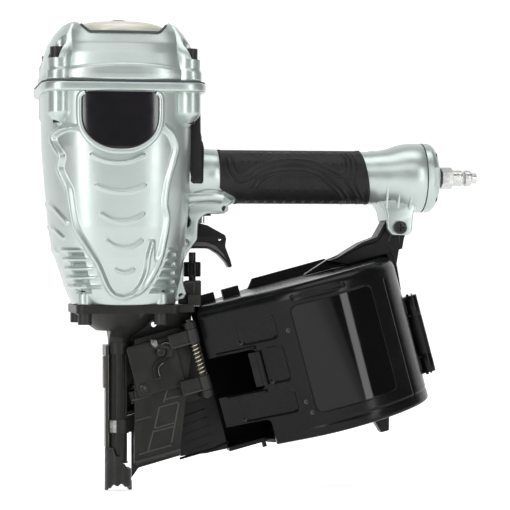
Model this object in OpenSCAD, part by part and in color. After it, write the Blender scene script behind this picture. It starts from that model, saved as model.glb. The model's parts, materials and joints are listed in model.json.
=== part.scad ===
// Pneumatic coil framing nailer, in millimetres.
// The driver axis is Z and the work face of the contact foot is Z = 0.
// The handle runs along +X, and the magazine door faces -Y.

/* [Head] */
// Underside of the housing above the work face
housing_z = 136; // [135.5:0.1:136.5]
// Half width of the head flange along X
head_half_x = 59.5; // [58.5:0.5:60.5]
// Half depth of the head flange along Y
head_half_y = 53.5; // [52.5:0.5:54]
// Height of the joint between housing and head cap
cap_z = 296; // [295.5:0.1:296.5]
// Top of the head cap
cap_top_z = 341; // [340:0.5:343]
// Place of the cap bolts along X
cap_bolt_x = 48; // [47:0.5:49]
// Place of the cap bolts along Y
cap_bolt_y = 38; // [37:0.5:39]

/* [Drive] */
// Bore radius of the cylinder sleeve
bore_r = 26; // [25.5:0.1:26.2]
// Stroke of the piston
piston_stroke = 109; // [104:1:110]
// Radius of the driver blade
blade_r = 2.6; // [2.2:0.1:2.8]

/* [Handle] */
// Height of the handle axis
handle_z = 229.7; // [229:0.1:230.4]
// Outer radius of the rubber grip
grip_r = 20.2; // [19:0.1:20.6]
// Radius of the handle core under the grip
core_r = 16; // [15:0.1:16.5]
// Radius of the handle's rear end
rear_r = 25.9; // [25:0.1:27]
// Radius of the air plug's coupling collar
plug_r = 5.95; // [5.8:0.05:6]

/* [Trigger] */
// Thickness of the trigger
trigger_t = 12.4; // [11.5:0.1:12.8]
// Height of the trigger pivot
trigger_pivot_z = 181.1; // [180.8:0.1:181.4]

/* [Nose] */
// Outer radius of the driver tube
tube_r = 7; // [6.8:0.1:7.1]
// Half width of the nail channel
channel_half = 4.5; // [4:0.1:4.8]

/* [Magazine] */
// Angle of the magazine and its feed direction
feed_tilt = 15; // [14.8:0.1:15.2]
// Outer radius of the coil drum
drum_r = 65; // [64.5:0.1:65.2]
// Height of the drum along its own axis
drum_h = 110; // [109:0.5:111]
// Wall thickness of the drum
drum_wall = 3; // [2.5:0.1:3.5]
// Radius of the nail tray
tray_r = 52; // [45:1:56]

/* [Hidden] */
$fn = 96;

far = 400;
gap = 0.2;
screw_clear = 0.2;
gasket_t = 1;
cap_bolt_head_z = 312;
cap_bolt_r = 3;
nose_bolt_x = 27.5;
nose_bolt_y = 30;
nose_bolt_r = 3;
sleeve_wall = 3;
sleeve_foot_z = housing_z + 12;
sleeve_top_z = 287.8;
chamber_floor_z = 205;
chamber_r = 40;
valve_seat_z = 288;
piston_bottom_z = 273.5;
piston_h = 14;
blade_tip_z = 116;
grip_start = 72.3;
grip_end = 183.5;
rear_x = 227;
seal_x = 240.6;
plug_x = 243;
valve_x = 61.6;
pivot_x = 47.8;
badge_seat_y = -51.5;
slot_half = 7;
arm_pin_x = 74;
latch_along = 41.5;
arm_pin_z = 183.5;
lever_x = 54.6;
lever_plate_y = 15.2;
lever_plate_t = 2.8;
lever_spring_x = 38;
guide_hinge_u = 80;
guide_hinge_y = -16.5;
guide_pin_r = 2;
drum_u = 176;
drum_w = 4.5;
door_hinge_u = 248;
door_pin_r = 2.5;
throat_u = 88;
throat_y = 14;
post_r = 6;
feed_y = 24;
feed_w = 62;
feed_cylinder_r = 9.5;
lug_bolt_x = 208;
lug_bolt_z = 192.3;

silver = [0.74, 0.79, 0.77];
plastic = [0.07, 0.07, 0.08];
rubber = [0.11, 0.11, 0.12];
steel = [0.62, 0.63, 0.65];
dark_steel = [0.16, 0.16, 0.17];
zinc = [0.78, 0.74, 0.58];

// ---- helpers ----

// A plate with its outline in the XZ plane, from y0 to y1.
module xz_plate(points, y0, y1) {
    translate([0, y1, 0])
        rotate([90, 0, 0])
            linear_extrude(y1 - y0)
                polygon(points);
}

// A prism along X with its outline in the YZ plane.
module yz_prism(points, half) {
    rotate([90, 0, 90])
        translate([0, 0, -half])
            linear_extrude(2 * half)
                polygon(points);
}

// Outline points mirrored about the vertical axis, as one closed outline.
function mirrored(points) = concat(
    points,
    [for (i = [len(points) - 1:-1:0]) [-points[i][0], points[i][1]]]
);

// A closed ring or disc standing on z0.
module ring(outer, inner, z0, z1) {
    difference() {
        translate([0, 0, z0])
            cylinder(r = outer, h = z1 - z0);
        translate([0, 0, z0 - 1])
            cylinder(r = inner, h = z1 - z0 + 2);
    }
}

// A block with round vertical corners.
module round_block(half_x, half_y, z0, z1, corner) {
    translate([0, 0, z0]) {
        translate([-half_x + corner, -half_y, 0])
            cube([2 * (half_x - corner), 2 * half_y, z1 - z0]);
        translate([-half_x, -half_y + corner, 0])
            cube([2 * half_x, 2 * (half_y - corner), z1 - z0]);
        for (sx = [-1, 1], sy = [-1, 1])
            translate([sx * (half_x - corner), sy * (half_y - corner), 0])
                cylinder(r = corner, h = z1 - z0);
    }
}

// Turns Z to +X, at the height of the handle axis.
module on_handle() {
    translate([0, 0, handle_z])
        rotate([0, 90, 0])
            children();
}

// Turns X and Z to the feed direction and the magazine axis.
module feed_frame() {
    rotate([0, -feed_tilt, 0])
        children();
}

module at_corners(x, y) {
    for (sx = [-1, 1], sy = [-1, 1])
        translate([sx * x, sy * y, 0])
            children();
}

// A cap screw along Z: the shank runs down from the head's underside at z.
module cap_screw(z, head_r, head_h, shank_r, shank_l, socket_r) {
    difference() {
        union() {
            translate([0, 0, z])
                cylinder(r = head_r, h = head_h);
            translate([0, 0, z - shank_l])
                cylinder(r = shank_r, h = shank_l + 0.1);
        }
        if (socket_r > 0)
            translate([0, 0, z + head_h / 2])
                cylinder(r = socket_r, h = head_h, $fn = 6);
    }
}

// A compression spring: wire radius, mean radius, turns and length, along +Z.
module coil(mean_r, wire_r, turns, length) {
    steps = 14;
    sides = 6;
    last = turns * steps;
    rise = (length - 2 * wire_r) / last;
    points = [
        for (i = [0:last], j = [0:sides - 1])
            let(a = 360 * i / steps, b = 360 * j / sides, rr = mean_r + wire_r * cos(b))
                [rr * cos(a), rr * sin(a), wire_r + rise * i + wire_r * sin(b)]
    ];
    walls = [
        for (i = [0:last - 1], j = [0:sides - 1])
            let(k = (j + 1) % sides, p = i * sides, q = p + sides)
                each [[p + j, q + j, q + k], [p + j, q + k, p + k]]
    ];
    first_end = [for (j = [0:sides - 1]) j];
    last_end = [for (j = [sides - 1:-1:0]) last * sides + j];
    polyhedron(points, concat(walls, [first_end, last_end]), convexity = 10);
}

// ---- head ----

barrel_x = [
    [-34, housing_z], [-38.9, 148], [-43.5, 162], [-49.2, 177], [-50.7, 192], [-53.3, 218],
    [-55.8, 249], [-57, 286], [52.5, 286], [52.3, 249], [51.5, 218], [49.5, 192],
    [47.5, 172], [44.5, 152], [41, housing_z],
];
barrel_y = [[37, housing_z], [41, 150], [45, 170], [48, 192], [50.5, 220], [52.5, 249], [52.8, 287]];
barrel_r = [
    [0, housing_z], [46, housing_z], [51, 150], [58, 177], [62, 218], [65, 249], [67, 287], [0, 287],
];
web = [
    [30, 138], [41.3, 138.4], [48.6, 143.6], [46.6, 150.8], [46.6, 167.3], [49.3, 173.8],
    [56.6, 183], [57.3, 198], [64, 202.8], [77, 202.5], [79.3, 208], [83.3, 211.3],
    [80, 216], [30, 216],
];
lug = [
    [197, 213], [199.5, 190], [203, 186.5], [213, 186.5], [217.5, 190], [221, 206], [221, 213],
];
rear_profile = [
    [0, 183.7], [20, 183.7], [20, 193], [21, 200], [24.5, 209], [rear_r, 219], [rear_r, rear_x], [0, rear_x],
];

module barrel() {
    intersection() {
        xz_plate(barrel_x, -60, 60);
        yz_prism(mirrored(barrel_y), 70);
        rotate_extrude()
            polygon(barrel_r);
    }
    round_block(head_half_x, head_half_y, 286, cap_z - gasket_t, 20);
    at_corners(cap_bolt_x - 1, cap_bolt_y) {
        translate([0, 0, 268])
            cylinder(r = 7, h = 19);
        translate([0, 0, 258])
            cylinder(r1 = 3, r2 = 7, h = 10);
    }
}

module handle_core() {
    on_handle() {
        translate([0, 0, 42])
            cylinder(r = grip_r + 0.1, h = grip_start - gap - 42);
        translate([0, 0, 50])
            cylinder(r = core_r, h = 140);
        rotate_extrude()
            polygon(rear_profile);
    }
}

// The trigger's cheeks, cut back where the grip sleeve starts.
module trigger_web() {
    difference() {
        xz_plate(web, -13, 13);
        on_handle()
            translate([0, 0, grip_start - gap])
                cylinder(r = grip_r + 0.2, h = 20);
    }
}

module body_housing() {
    color(silver)
        difference() {
            union() {
                barrel();
                trigger_web();
                handle_core();
                xz_plate(lug, -15, 15);
            }
            xz_plate(badge_outline(), -70, badge_seat_y);
            translate([0, 0, housing_z - 1])
                cylinder(r = 22, h = 20);
            translate([0, 0, sleeve_foot_z])
                cylinder(r = bore_r + sleeve_wall + 0.1, h = far);
            translate([0, 0, chamber_floor_z])
                cylinder(r = chamber_r, h = far);
            on_handle()
                translate([0, 0, 30])
                    cylinder(r = 11.5, h = far);
            at_corners(cap_bolt_x, cap_bolt_y)
                translate([0, 0, 264])
                    cylinder(r = cap_bolt_r + screw_clear, h = 50);
            at_corners(nose_bolt_x, nose_bolt_y)
                translate([0, 0, housing_z - 1])
                    cylinder(r = nose_bolt_r + screw_clear, h = 18);
            on_handle()
                for (a = [45:90:315])
                    rotate(a)
                        translate([20.5, 0, 212])
                            cylinder(r = 2 + screw_clear, h = 20);
            // slot between the two trigger cheeks, and the window through them
            translate([42.6, -slot_half, 130])
                cube([60, 2 * slot_half, 72]);
            translate([42.6, -20, 191])
                cube([11, 40, 13]);
            translate([valve_x, 0, 195])
                cylinder(r = 7 + screw_clear, h = 26);
            translate([pivot_x, 0, trigger_pivot_z])
                rotate([90, 0, 0])
                    cylinder(r = 2.2, h = 40, center = true);
            // slot between the lug's ears
            translate([190, -9.5, 180])
                cube([40, 19, 24.5]);
            translate([lug_bolt_x, 0, lug_bolt_z])
                rotate([90, 0, 0])
                    cylinder(r = 3 + screw_clear, h = 50, center = true);
        }
}

module head_gasket() {
    color(dark_steel)
        difference() {
            round_block(head_half_x - 0.5, head_half_y - 0.5, cap_z - gasket_t, cap_z, 19.5);
            translate([0, 0, cap_z - 5])
                cylinder(r = chamber_r, h = 10);
            at_corners(cap_bolt_x, cap_bolt_y)
                translate([0, 0, cap_z - 5])
                    cylinder(r = cap_bolt_r + screw_clear, h = 10);
        }
}

cap_x = [[58, cap_z], [57.6, 307], [53.6, 325], [44.7, 335], [37.3, cap_top_z]];
cap_y = [[53, cap_z], [52.6, 307], [48.5, 323], [42, 333], [36, cap_top_z]];
cap_r = [[0, cap_z], [68, cap_z], [67, 307], [61, 323], [52, 334], [44, cap_top_z], [0, cap_top_z]];

module head_cap() {
    color(silver)
        difference() {
            intersection() {
                xz_plate(mirrored(cap_x), -60, 60);
                yz_prism(mirrored(cap_y), 70);
                rotate_extrude()
                    polygon(cap_r);
            }
            // cylinder of the head valve, around the central stem
            ring(34, 16, cap_z - 10, 318);
            translate([0, 0, cap_z - 10])
                cylinder(r = 17, h = 13);
            // seat of the deflector, and the dips that open it to both sides
            translate([0, 0, 331])
                cylinder(r = 35.2, h = 20);
            xz_plate([[-23.6, 331], [25.5, 331], [35.2, 345], [-35.2, 345]], -70, 70);
            for (a = [0:90:270])
                rotate(a)
                    translate([11, 0, 290])
                        cylinder(r = 4, h = 50);
            translate([0, 0, 312])
                cylinder(r = 3 + screw_clear, h = 30);
            at_corners(cap_bolt_x, cap_bolt_y) {
                translate([0, 0, cap_bolt_head_z])
                    cylinder(r = 6, h = 40);
                translate([0, 0, cap_z - 5])
                    cylinder(r = cap_bolt_r + screw_clear, h = 30);
            }
        }
}

module cap_bolts() {
    color(dark_steel)
        at_corners(cap_bolt_x, cap_bolt_y)
            cap_screw(cap_bolt_head_z, 5, 8, cap_bolt_r, 46, 2.6);
}

module exhaust_deflector() {
    shell = [
        [3.2, 340], [12, 340], [28, 338.6], [32.4, 336.6], [32.4, 331.2], [34.6, 331.2], [34.6, 337.4],
        [29, 340.6], [12, 342], [3.2, 342],
    ];
    color(zinc)
        difference() {
            rotate_extrude()
                polygon(shell);
            translate([-14, 20, 332.2])
                cube([28, 20, 4.4]);
        }
}

module deflector_screw() {
    color(dark_steel)
        cap_screw(342.1, 5.5, 1.2, 3, 24, 2);
}

function badge_outline() = concat(
    [[-29, 293], [29, 293], [31, 291]],
    [for (t = [0:12:180]) [30.6 * cos(t), 272 - 25 * pow(sin(t), 0.85)]],
    [[-31, 291]]
);

module badge() {
    color([0.03, 0.03, 0.035])
        xz_plate(badge_outline(), -54.4, badge_seat_y - 0.05);
}

module rubber_pad() {
    side = [[52.8, 285.6], [61.5, 285.6], [62.2, 254], [62.2, 225], [52.8, 225]];
    inner_r = grip_r + 0.3;
    color(rubber)
        difference() {
            xz_plate(side, -23.5, 23.5);
            // saddle over the handle's root, open below
            on_handle()
                cylinder(r = inner_r, h = far);
            translate([40, -inner_r, 200])
                cube([40, 2 * inner_r, handle_z - 200]);
        }
}

// ---- handle ----

module handle_grip() {
    color(rubber)
        on_handle()
            ring(grip_r, core_r + 0.1, grip_start, grip_end);
}

module end_cap_gasket() {
    color([0.3, 0.36, 0.42])
        on_handle()
            difference() {
                ring(rear_r - 0.6, 12, rear_x, rear_x + 0.6);
                for (a = [45:90:315])
                    rotate(a)
                        translate([20.5, 0, rear_x - 1])
                            cylinder(r = 2 + screw_clear, h = 4);
            }
}

module end_cap() {
    front_x = rear_x + 0.6;
    profile = concat(
        [[0, front_x], [rear_r, front_x]],
        [for (a = [0:15:90]) [10 + (rear_r - 10) * cos(a), 231.4 + 8 * sin(a)]],
        [[9.4, seal_x], [0, seal_x]]
    );
    color(silver)
        on_handle()
            difference() {
                rotate_extrude()
                    polygon(profile);
                translate([0, 0, front_x - 1])
                    cylinder(r = 14, h = 5);
                translate([0, 0, front_x - 1])
                    cylinder(r = 6.4 + 0.1, h = 30);
                for (a = [45:90:315])
                    rotate(a)
                        translate([20.5, 0, front_x - 1]) {
                            cylinder(r = 2 + screw_clear, h = 20);
                            translate([0, 0, 233 - front_x + 1])
                                cylinder(r = 3.7, h = 10);
                        }
                // notch in the rim
                translate([-7, -rear_r - 1, 232])
                    cube([14, 4, 10]);
            }
}

module end_cap_screws() {
    color(dark_steel)
        on_handle()
            for (a = [45:90:315])
                rotate(a)
                    translate([20.5, 0, 0])
                        cap_screw(233.05, 3.4, 3, 2, 18.4, 1.6);
}

module air_plug() {
    profile = [
        [3, 232], [6.4, 232], [6.4, plug_x], [6.9, plug_x], [6.9, 251.5], [plug_r, 251.5], [plug_r, 259],
        [4, 259.6], [4, 260.6], [plug_r, 261.2], [plug_r, 265.7], [3.95, 266.4], [3.95, 270.4], [3, 270.4],
    ];
    color(steel)
        on_handle()
            difference() {
                union() {
                    rotate_extrude()
                        polygon(profile);
                    translate([0, 0, plug_x])
                        cylinder(d = 14.3 / cos(30), h = 8.5, $fn = 6);
                }
                translate([0, 0, 231])
                    cylinder(r = 3, h = 50);
            }
}

module plug_seal() {
    color([0.42, 0.3, 0.22])
        on_handle()
            ring(7.2, 6.4 + 0.1, seal_x + 0.02, plug_x - 0.02);
}

// ---- drive ----

module cylinder_sleeve() {
    color(steel)
        ring(bore_r + sleeve_wall, bore_r, sleeve_foot_z + 0.1, sleeve_top_z);
}

module sleeve_seal() {
    color(rubber)
        ring(bore_r + sleeve_wall + 3, bore_r + sleeve_wall + 0.05,
            chamber_floor_z + 0.05, chamber_floor_z + 4);
}

module piston_bumper() {
    top = piston_bottom_z - piston_stroke - 0.3;
    profile = [
        [6, sleeve_foot_z + 0.1], [bore_r - 0.3, sleeve_foot_z + 0.1], [bore_r - 0.3, top - 4],
        [bore_r - 4, top], [9, top], [6, top - 3],
    ];
    color([0.25, 0.22, 0.2])
        rotate_extrude()
            polygon(profile);
}

module head_valve() {
    profile = [
        [20, valve_seat_z + 0.2], [31, valve_seat_z + 0.2], [33.7, 296], [33.7, 308], [29, 308], [29, 300.5],
        [21, 300.5], [21, 308], [17.3, 308], [17.3, 300], [20, 296],
    ];
    color([0.8, 0.8, 0.76])
        rotate_extrude()
            polygon(profile);
}

module head_valve_spring() {
    color(steel)
        translate([0, 0, 300.6])
            coil(25, 1.5, 3, 17.3);
}

module head_cushion() {
    color(rubber)
        difference() {
            ring(15.6, 2, 288, 298.9);
            for (a = [0:90:270])
                rotate(a)
                    translate([11, 0, 287])
                        cylinder(r = 3.6, h = 13);
        }
}

module piston() {
    color(steel)
        difference() {
            translate([0, 0, piston_bottom_z])
                cylinder(r = bore_r - 0.1, h = piston_h);
            ring(bore_r + 1, bore_r - 3, piston_bottom_z + 5, piston_bottom_z + 9);
            translate([0, 0, piston_bottom_z - 1])
                cylinder(r = blade_r + 0.05, h = 11);
            translate([0, 0, piston_bottom_z + piston_h - 2])
                cylinder(r = 18, h = 5);
        }
}

module piston_ring() {
    color(rubber)
        ring(bore_r - 0.05, bore_r - 2.9, piston_bottom_z + 5.1, piston_bottom_z + 8.9);
}

module driver_blade() {
    color(steel)
        translate([0, 0, blade_tip_z])
            cylinder(r = blade_r, h = piston_bottom_z + 9.8 - blade_tip_z);
}

// ---- trigger group ----

module trigger_valve_body() {
    color(dark_steel)
        translate([valve_x, 0, 0])
            difference() {
                translate([0, 0, 200.8])
                    cylinder(r = 7, h = 19);
                translate([0, 0, 200])
                    cylinder(r = 2.35, h = 30);
                translate([0, 0, 205.7])
                    cylinder(r = 5.6, h = 11.3);
            }
}

module valve_plunger() {
    color(steel)
        translate([valve_x, 0, 0]) {
            translate([0, 0, 195.5])
                cylinder(r = 2.3, h = 11);
            translate([0, 0, 205.8])
                cylinder(r = 4.6, h = 2);
        }
}

module valve_spring() {
    color(steel)
        translate([valve_x, 0, 207.9])
            coil(3.6, 0.5, 4, 9);
}

trigger_outline = [
    [44.2, 186], [43.6, 179], [46, 176.6], [57.3, 176.8], [66.6, 177.2], [73.3, 173.2], [79.3, 167.3],
    [81.4, 162.7], [83.3, 163.3], [82, 167.3], [78, 179], [79, 183], [78.7, 186], [65.3, 193.6],
    [60.7, 195], [56, 196.4], [52, 193],
];

module trigger() {
    color(plastic)
        difference() {
            xz_plate(trigger_outline, -trigger_t / 2, trigger_t / 2);
            // channel that holds the trigger arm, open below near the pivot
            xz_plate([[40, 170], [59, 170], [59, 182.4], [70, 178],
                [77.4, 179.4], [77.4, 200], [40, 200]], -3.3, 3.3);
            translate([pivot_x, 0, trigger_pivot_z])
                rotate([90, 0, 0])
                    cylinder(r = 2.06, h = 30, center = true);
            translate([arm_pin_x, 0, arm_pin_z])
                rotate([90, 0, 0])
                    cylinder(r = 1.1, h = 30, center = true);
        }
}

module trigger_pin() {
    color(steel)
        translate([pivot_x, 0, trigger_pivot_z])
            rotate([90, 0, 0])
                cylinder(r = 2, h = 27, center = true);
}

module trigger_spring() {
    color(steel)
        translate([pivot_x, 2.5, trigger_pivot_z])
            rotate([90, 0, 0])
                coil(2.8, 0.4, 4, 5);
}

module trigger_arm() {
    outline = [
        [52, 186.2], [60, 185.4], [70, 180.8], [74, 180.4], [76.6, 182], [76.6, 185], [74, 186.6],
        [62, 189], [52, 188.8],
    ];
    color(steel)
        difference() {
            xz_plate(outline, -2.6, 2.6);
            translate([arm_pin_x, 0, arm_pin_z])
                rotate([90, 0, 0])
                    cylinder(r = 1.1, h = 30, center = true);
        }
}

module trigger_arm_pin() {
    color(steel)
        translate([arm_pin_x, 0, arm_pin_z])
            rotate([90, 0, 0])
                cylinder(r = 1.04, h = trigger_t - 0.2, center = true);
}

// ---- nose ----

far_guide = [
    [10.4, 8.5], [15.5, 15.6], [46, 24], [46.6, 30], [54.5, 104], [50, 118], [44, 120.6], [10.4, 109.5],
];
near_guide = [[10.8, 18.6], [44.4, 27.8], [50.5, 80], [54, 100], [46, 118.5], [40, 118.8], [10.8, 110.6]];

module nose_funnel() {
    rotate_extrude()
        polygon([[0, 103], [5.5, 103], [9.5, 112], [22, 121], [33, 131], [0, 131]]);
}

module nose_body() {
    color(dark_steel)
        difference() {
            union() {
                translate([3.5, 0, 0])
                    round_block(37.5, 36.5, 130, housing_z - 0.02, 6);
                translate([38, -14, 130.2])
                    cube([16, 34, housing_z - 130.4]);
                translate([49.6, -13.8, 135.1])
                    cube([9.4, 33.6, 7.9]);
                translate([0, 0, housing_z - 1])
                    cylinder(r = 21.8, h = 12.5);
                nose_funnel();
                translate([0, 0, 20])
                    cylinder(r = tube_r, h = 90);
                ring(7.9, 3, 100, 108);
                ring(8.2, 3, 42, 52);
                xz_plate(far_guide, channel_half, 9);
                translate([4, channel_half + 0.3, 42])
                    cube([8, 3.9, 66]);
                // knuckles that hold the guide door's hinge pin
                feed_frame()
                    for (w = [50, 101.1])
                        translate([guide_hinge_u, guide_hinge_y, w]) {
                            cylinder(r = 4.4, h = 4.8);
                            translate([-4.4, 0, 0])
                                cube([8.8, 25, 4.8]);
                            translate([-24, channel_half - guide_hinge_y + 0.3, 0.2])
                                cube([24, 3.6, 4.4]);
                        }
                // bridge from the upper knuckle to the flange
                translate([44, channel_half + 0.4, 114])
                    cube([8, 3.8, 18]);
            }
            translate([0, 0, 10])
                cylinder(r = blade_r + 0.5, h = 200);
            translate([0, -3.4, 21])
                cube([12, 6.8, 84]);
            // clearance for the push lever beside the tube and in the flange
            translate([-20, -20, 15])
                cube([12.7, 40, 102]);
            translate([50.2, lever_plate_y - 0.6, 120])
                cube([8.6, lever_plate_t + 1.2, 40]);
            at_corners(nose_bolt_x, nose_bolt_y)
                translate([0, 0, 125])
                    cylinder(r = nose_bolt_r + screw_clear, h = 30);
            // window for the feed pawl
            feed_frame()
                translate([20, 0, 50])
                    cube([26, 20, 24]);
            feed_frame()
                translate([guide_hinge_u, guide_hinge_y, 40])
                    cylinder(r = guide_pin_r + 0.02, h = 80);
        }
}

module nose_bolts() {
    color(dark_steel)
        at_corners(nose_bolt_x, nose_bolt_y)
            translate([0, 0, 130])
                mirror([0, 0, 1])
                    cap_screw(0.02, 5, 8, nose_bolt_r, 22, 2.6);
}

module contact_foot() {
    color(dark_steel)
        difference() {
            cylinder(r = 10, h = 31.5);
            translate([0, 0, -1])
                cylinder(r = tube_r + 0.4, h = 40);
            // open towards the nail channel
            translate([0, -4.6, 7])
                cube([20, 9.2, 40]);
            translate([2, -20, 20])
                cube([20, 40, 40]);
            // bite marks in the work face
            for (a = [20:40:340])
                rotate(a)
                    translate([8.5, 0, 0])
                        rotate([0, 45, 0])
                            cube([2.4, 3.4, 2.4], center = true);
        }
}

module push_lever() {
    side = [
        [-9.8, 98], [46, 98], [56.2, 110], [56.2, 152], [51, 152], [51, 115], [44, 106], [-9.8, 106],
    ];
    color(dark_steel) {
        translate([-9.8, -5, 31.6])
            cube([2.2, 10, 74.4]);
        translate([-11.2, -4, 75])
            cube([2, 8, 23]);
        translate([-9.8, -5, 98])
            cube([2.2, lever_plate_y + lever_plate_t + 5, 8]);
        xz_plate(side, lever_plate_y, lever_plate_y + lever_plate_t);
        translate([51, -2.6, 144])
            cube([7, lever_plate_y + lever_plate_t + 2.6, 8]);
        translate([lever_x, 0, 150])
            cylinder(r = 2.6, h = 24);
    }
}

module adjuster_dial() {
    flutes = 12;
    color(plastic)
        translate([lever_x, 0, 0])
            difference() {
                translate([0, 0, 156])
                    cylinder(r = 6.4, h = 11);
                translate([0, 0, 150])
                    cylinder(r = 2.65, h = 30);
                for (i = [0:flutes - 1])
                    rotate(360 * i / flutes)
                        translate([6.9, 0, 157.5])
                            cylinder(r = 1, h = 8);
            }
}

module lever_spring() {
    color(steel)
        translate([lever_spring_x, lever_plate_y + lever_plate_t / 2, 106.05])
            coil(3, 0.5, 7, 23.9);
}

// ---- feeder ----

module on_feed_axis(u) {
    feed_frame()
        translate([u, feed_y, feed_w])
            rotate([0, 90, 0])
                children();
}

module feed_cylinder() {
    color(dark_steel)
        difference() {
            union() {
                on_feed_axis(56)
                    cylinder(r = feed_cylinder_r, h = 36);
                feed_frame()
                    translate([60, 9.1, feed_w - 6])
                        cube([20, 10, 12]);
            }
            on_feed_axis(59)
                cylinder(r = 7.55, h = 30);
            on_feed_axis(50)
                cylinder(r = 3.05, h = 12);
        }
}

module feed_piston() {
    color(steel) {
        on_feed_axis(61)
            cylinder(r = 7.5, h = 7);
        on_feed_axis(40)
            cylinder(r = 3, h = 22);
        // fork that carries the pawl
        feed_frame()
            difference() {
                translate([30, 12, feed_w - 8])
                    cube([11, 15, 16]);
                translate([20, 5, feed_w - 5])
                    cube([18, 16, 10]);
                translate([34, 16, 40])
                    cylinder(r = 1.6, h = 40);
            }
    }
}

module feed_spring() {
    color(steel)
        on_feed_axis(68.1)
            coil(5.6, 0.7, 5, 20.8);
}

module feed_pawl() {
    outline = [[37, 18], [31.5, 18], [26, 4], [29.5, 3.4], [37, 13.5]];
    color(steel)
        feed_frame()
            difference() {
                translate([0, 0, feed_w - 4.6])
                    linear_extrude(9.2)
                        polygon(outline);
                translate([34, 16, 40])
                    cylinder(r = 1.56, h = 40);
            }
}

module pawl_pin() {
    color(steel)
        feed_frame()
            translate([34, 16, feed_w - 8])
                cylinder(r = 1.5, h = 16);
}

// ---- nail guide door ----

module guide_knuckle(w0, w1) {
    translate([guide_hinge_u, guide_hinge_y, w0])
        cylinder(r = 4.4, h = w1 - w0);
    translate([62, guide_hinge_y - 3, w0])
        cube([18, 6, w1 - w0]);
    translate([62, guide_hinge_y - 3, w0])
        cube([8, 12, w1 - w0]);
}

module nail_guide_door() {
    color(plastic)
        difference() {
            union() {
                xz_plate(near_guide, -9, -channel_half);
                // thicker upper plate that carries the latch
                feed_frame()
                    translate([31, -12, 62])
                        cube([36, 4, 38]);
                feed_frame() {
                    guide_knuckle(55, 65.8);
                    guide_knuckle(90.2, 100.9);
                }
                for (w = [20, 38])
                    feed_frame()
                        translate([18, -10.4, w])
                            cube([36, 2, 2]);
            }
            feed_frame() {
                translate([guide_hinge_u, guide_hinge_y, 40])
                    cylinder(r = guide_pin_r + 0.05, h = 80);
                translate([54.6, 0, 90.2])
                    rotate([90, 0, 0])
                        cylinder(r = 1.7, h = 40);
                translate([36, 0, 68])
                    rotate([90, 0, 0])
                        cylinder(r = 1.7, h = 40);
            }
        }
}

// A screw whose head faces -Y, with its head's underside at y.
module face_screw(u, w, y, head_r, head_h, shank_r, shank_l) {
    feed_frame()
        translate([u, y, w])
            rotate([90, 0, 0])
                cap_screw(0, head_r, head_h, shank_r, shank_l, head_r / 2);
}

module guide_door_screws() {
    color(dark_steel)
        face_screw(36, 68, -12.05, 3, 1.8, 1.5, 7);
}

module latch_screw() {
    color(dark_steel)
        face_screw(54.6, 90.2, -14.5, 3, 1.6, 1.5, 9);
}

module door_latch() {
    outline = [
        [50, 99.5], [53, 96], [58.6, 94.6], [60.4, 90.2], [59, 86.4], [54, 84.2], [51.2, 80], [50.6, 72.5],
        [47.4, 72.5], [47.6, 80.6], [50.5, 86.2], [50.4, 90], [50.6, 93], [47.4, 97],
    ];
    color(steel)
        feed_frame()
            difference() {
                xz_plate(outline, -14.4, -12.2);
                translate([54.6, 0, 90.2])
                    rotate([90, 0, 0])
                        cylinder(r = 1.56, h = 40);
            }
}

module guide_hinge_pin() {
    color(steel)
        feed_frame()
            translate([guide_hinge_u, guide_hinge_y, 49])
                cylinder(r = guide_pin_r, h = 59);
}

module guide_hinge_spring() {
    color(zinc)
        feed_frame()
            translate([guide_hinge_u, guide_hinge_y, 65.9])
                coil(2.8, 0.6, 8, 24.2);
}

// ---- magazine ----

// Tangent from the throat's corner to a drum of radius r.
function tangent_turn(r) =
    let(du = drum_u - throat_u, reach = norm([du, throat_y]))
        180 + atan2(throat_y, du) + acos(r / reach);

// Plan of the near half of the throat, from the feed channel to the drum.
function throat_plan(r, inset) =
    let(a = tangent_turn(r))
        [
            [throat_u - 1, 0], [throat_u - 1, -throat_y + inset], [throat_u, -throat_y + inset],
            [drum_u + r * cos(a), r * sin(a)], [drum_u, 0],
        ];

// Solid of one half of the drum and its throat, from w0 to w1. side is -1 near, 1 far.
module half_drum(side, r, inset, w0, w1) {
    intersection() {
        union() {
            translate([drum_u, 0, w0])
                cylinder(r = r, h = w1 - w0);
            mirror([0, side > 0 ? 1 : 0, 0])
                translate([0, 0, w0])
                    linear_extrude(w1 - w0)
                        polygon(throat_plan(r, inset));
        }
        translate([throat_u - 2, side > 0 ? gap : -far - gap, w0 - 1])
            cube([far, far, w1 - w0 + 2]);
    }
}

module far_link() {
    feed_frame()
        translate([78, channel_half, 10])
            cube([12, throat_y - 0.1 - channel_half, 36]);
    difference() {
        feed_frame()
            xz_plate(
                [[44, 12], [70, 7.5], [117, 5], [121, 8], [121, 52], [100, 48], [50, 46]],
                channel_half, 9
            );
        // the nose's own guide wall ends here
        xz_plate([[-10, 0], [46.6, 0], [46.6, 30], [56, 118], [-10, 118]], 0, 20);
    }
}

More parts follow.
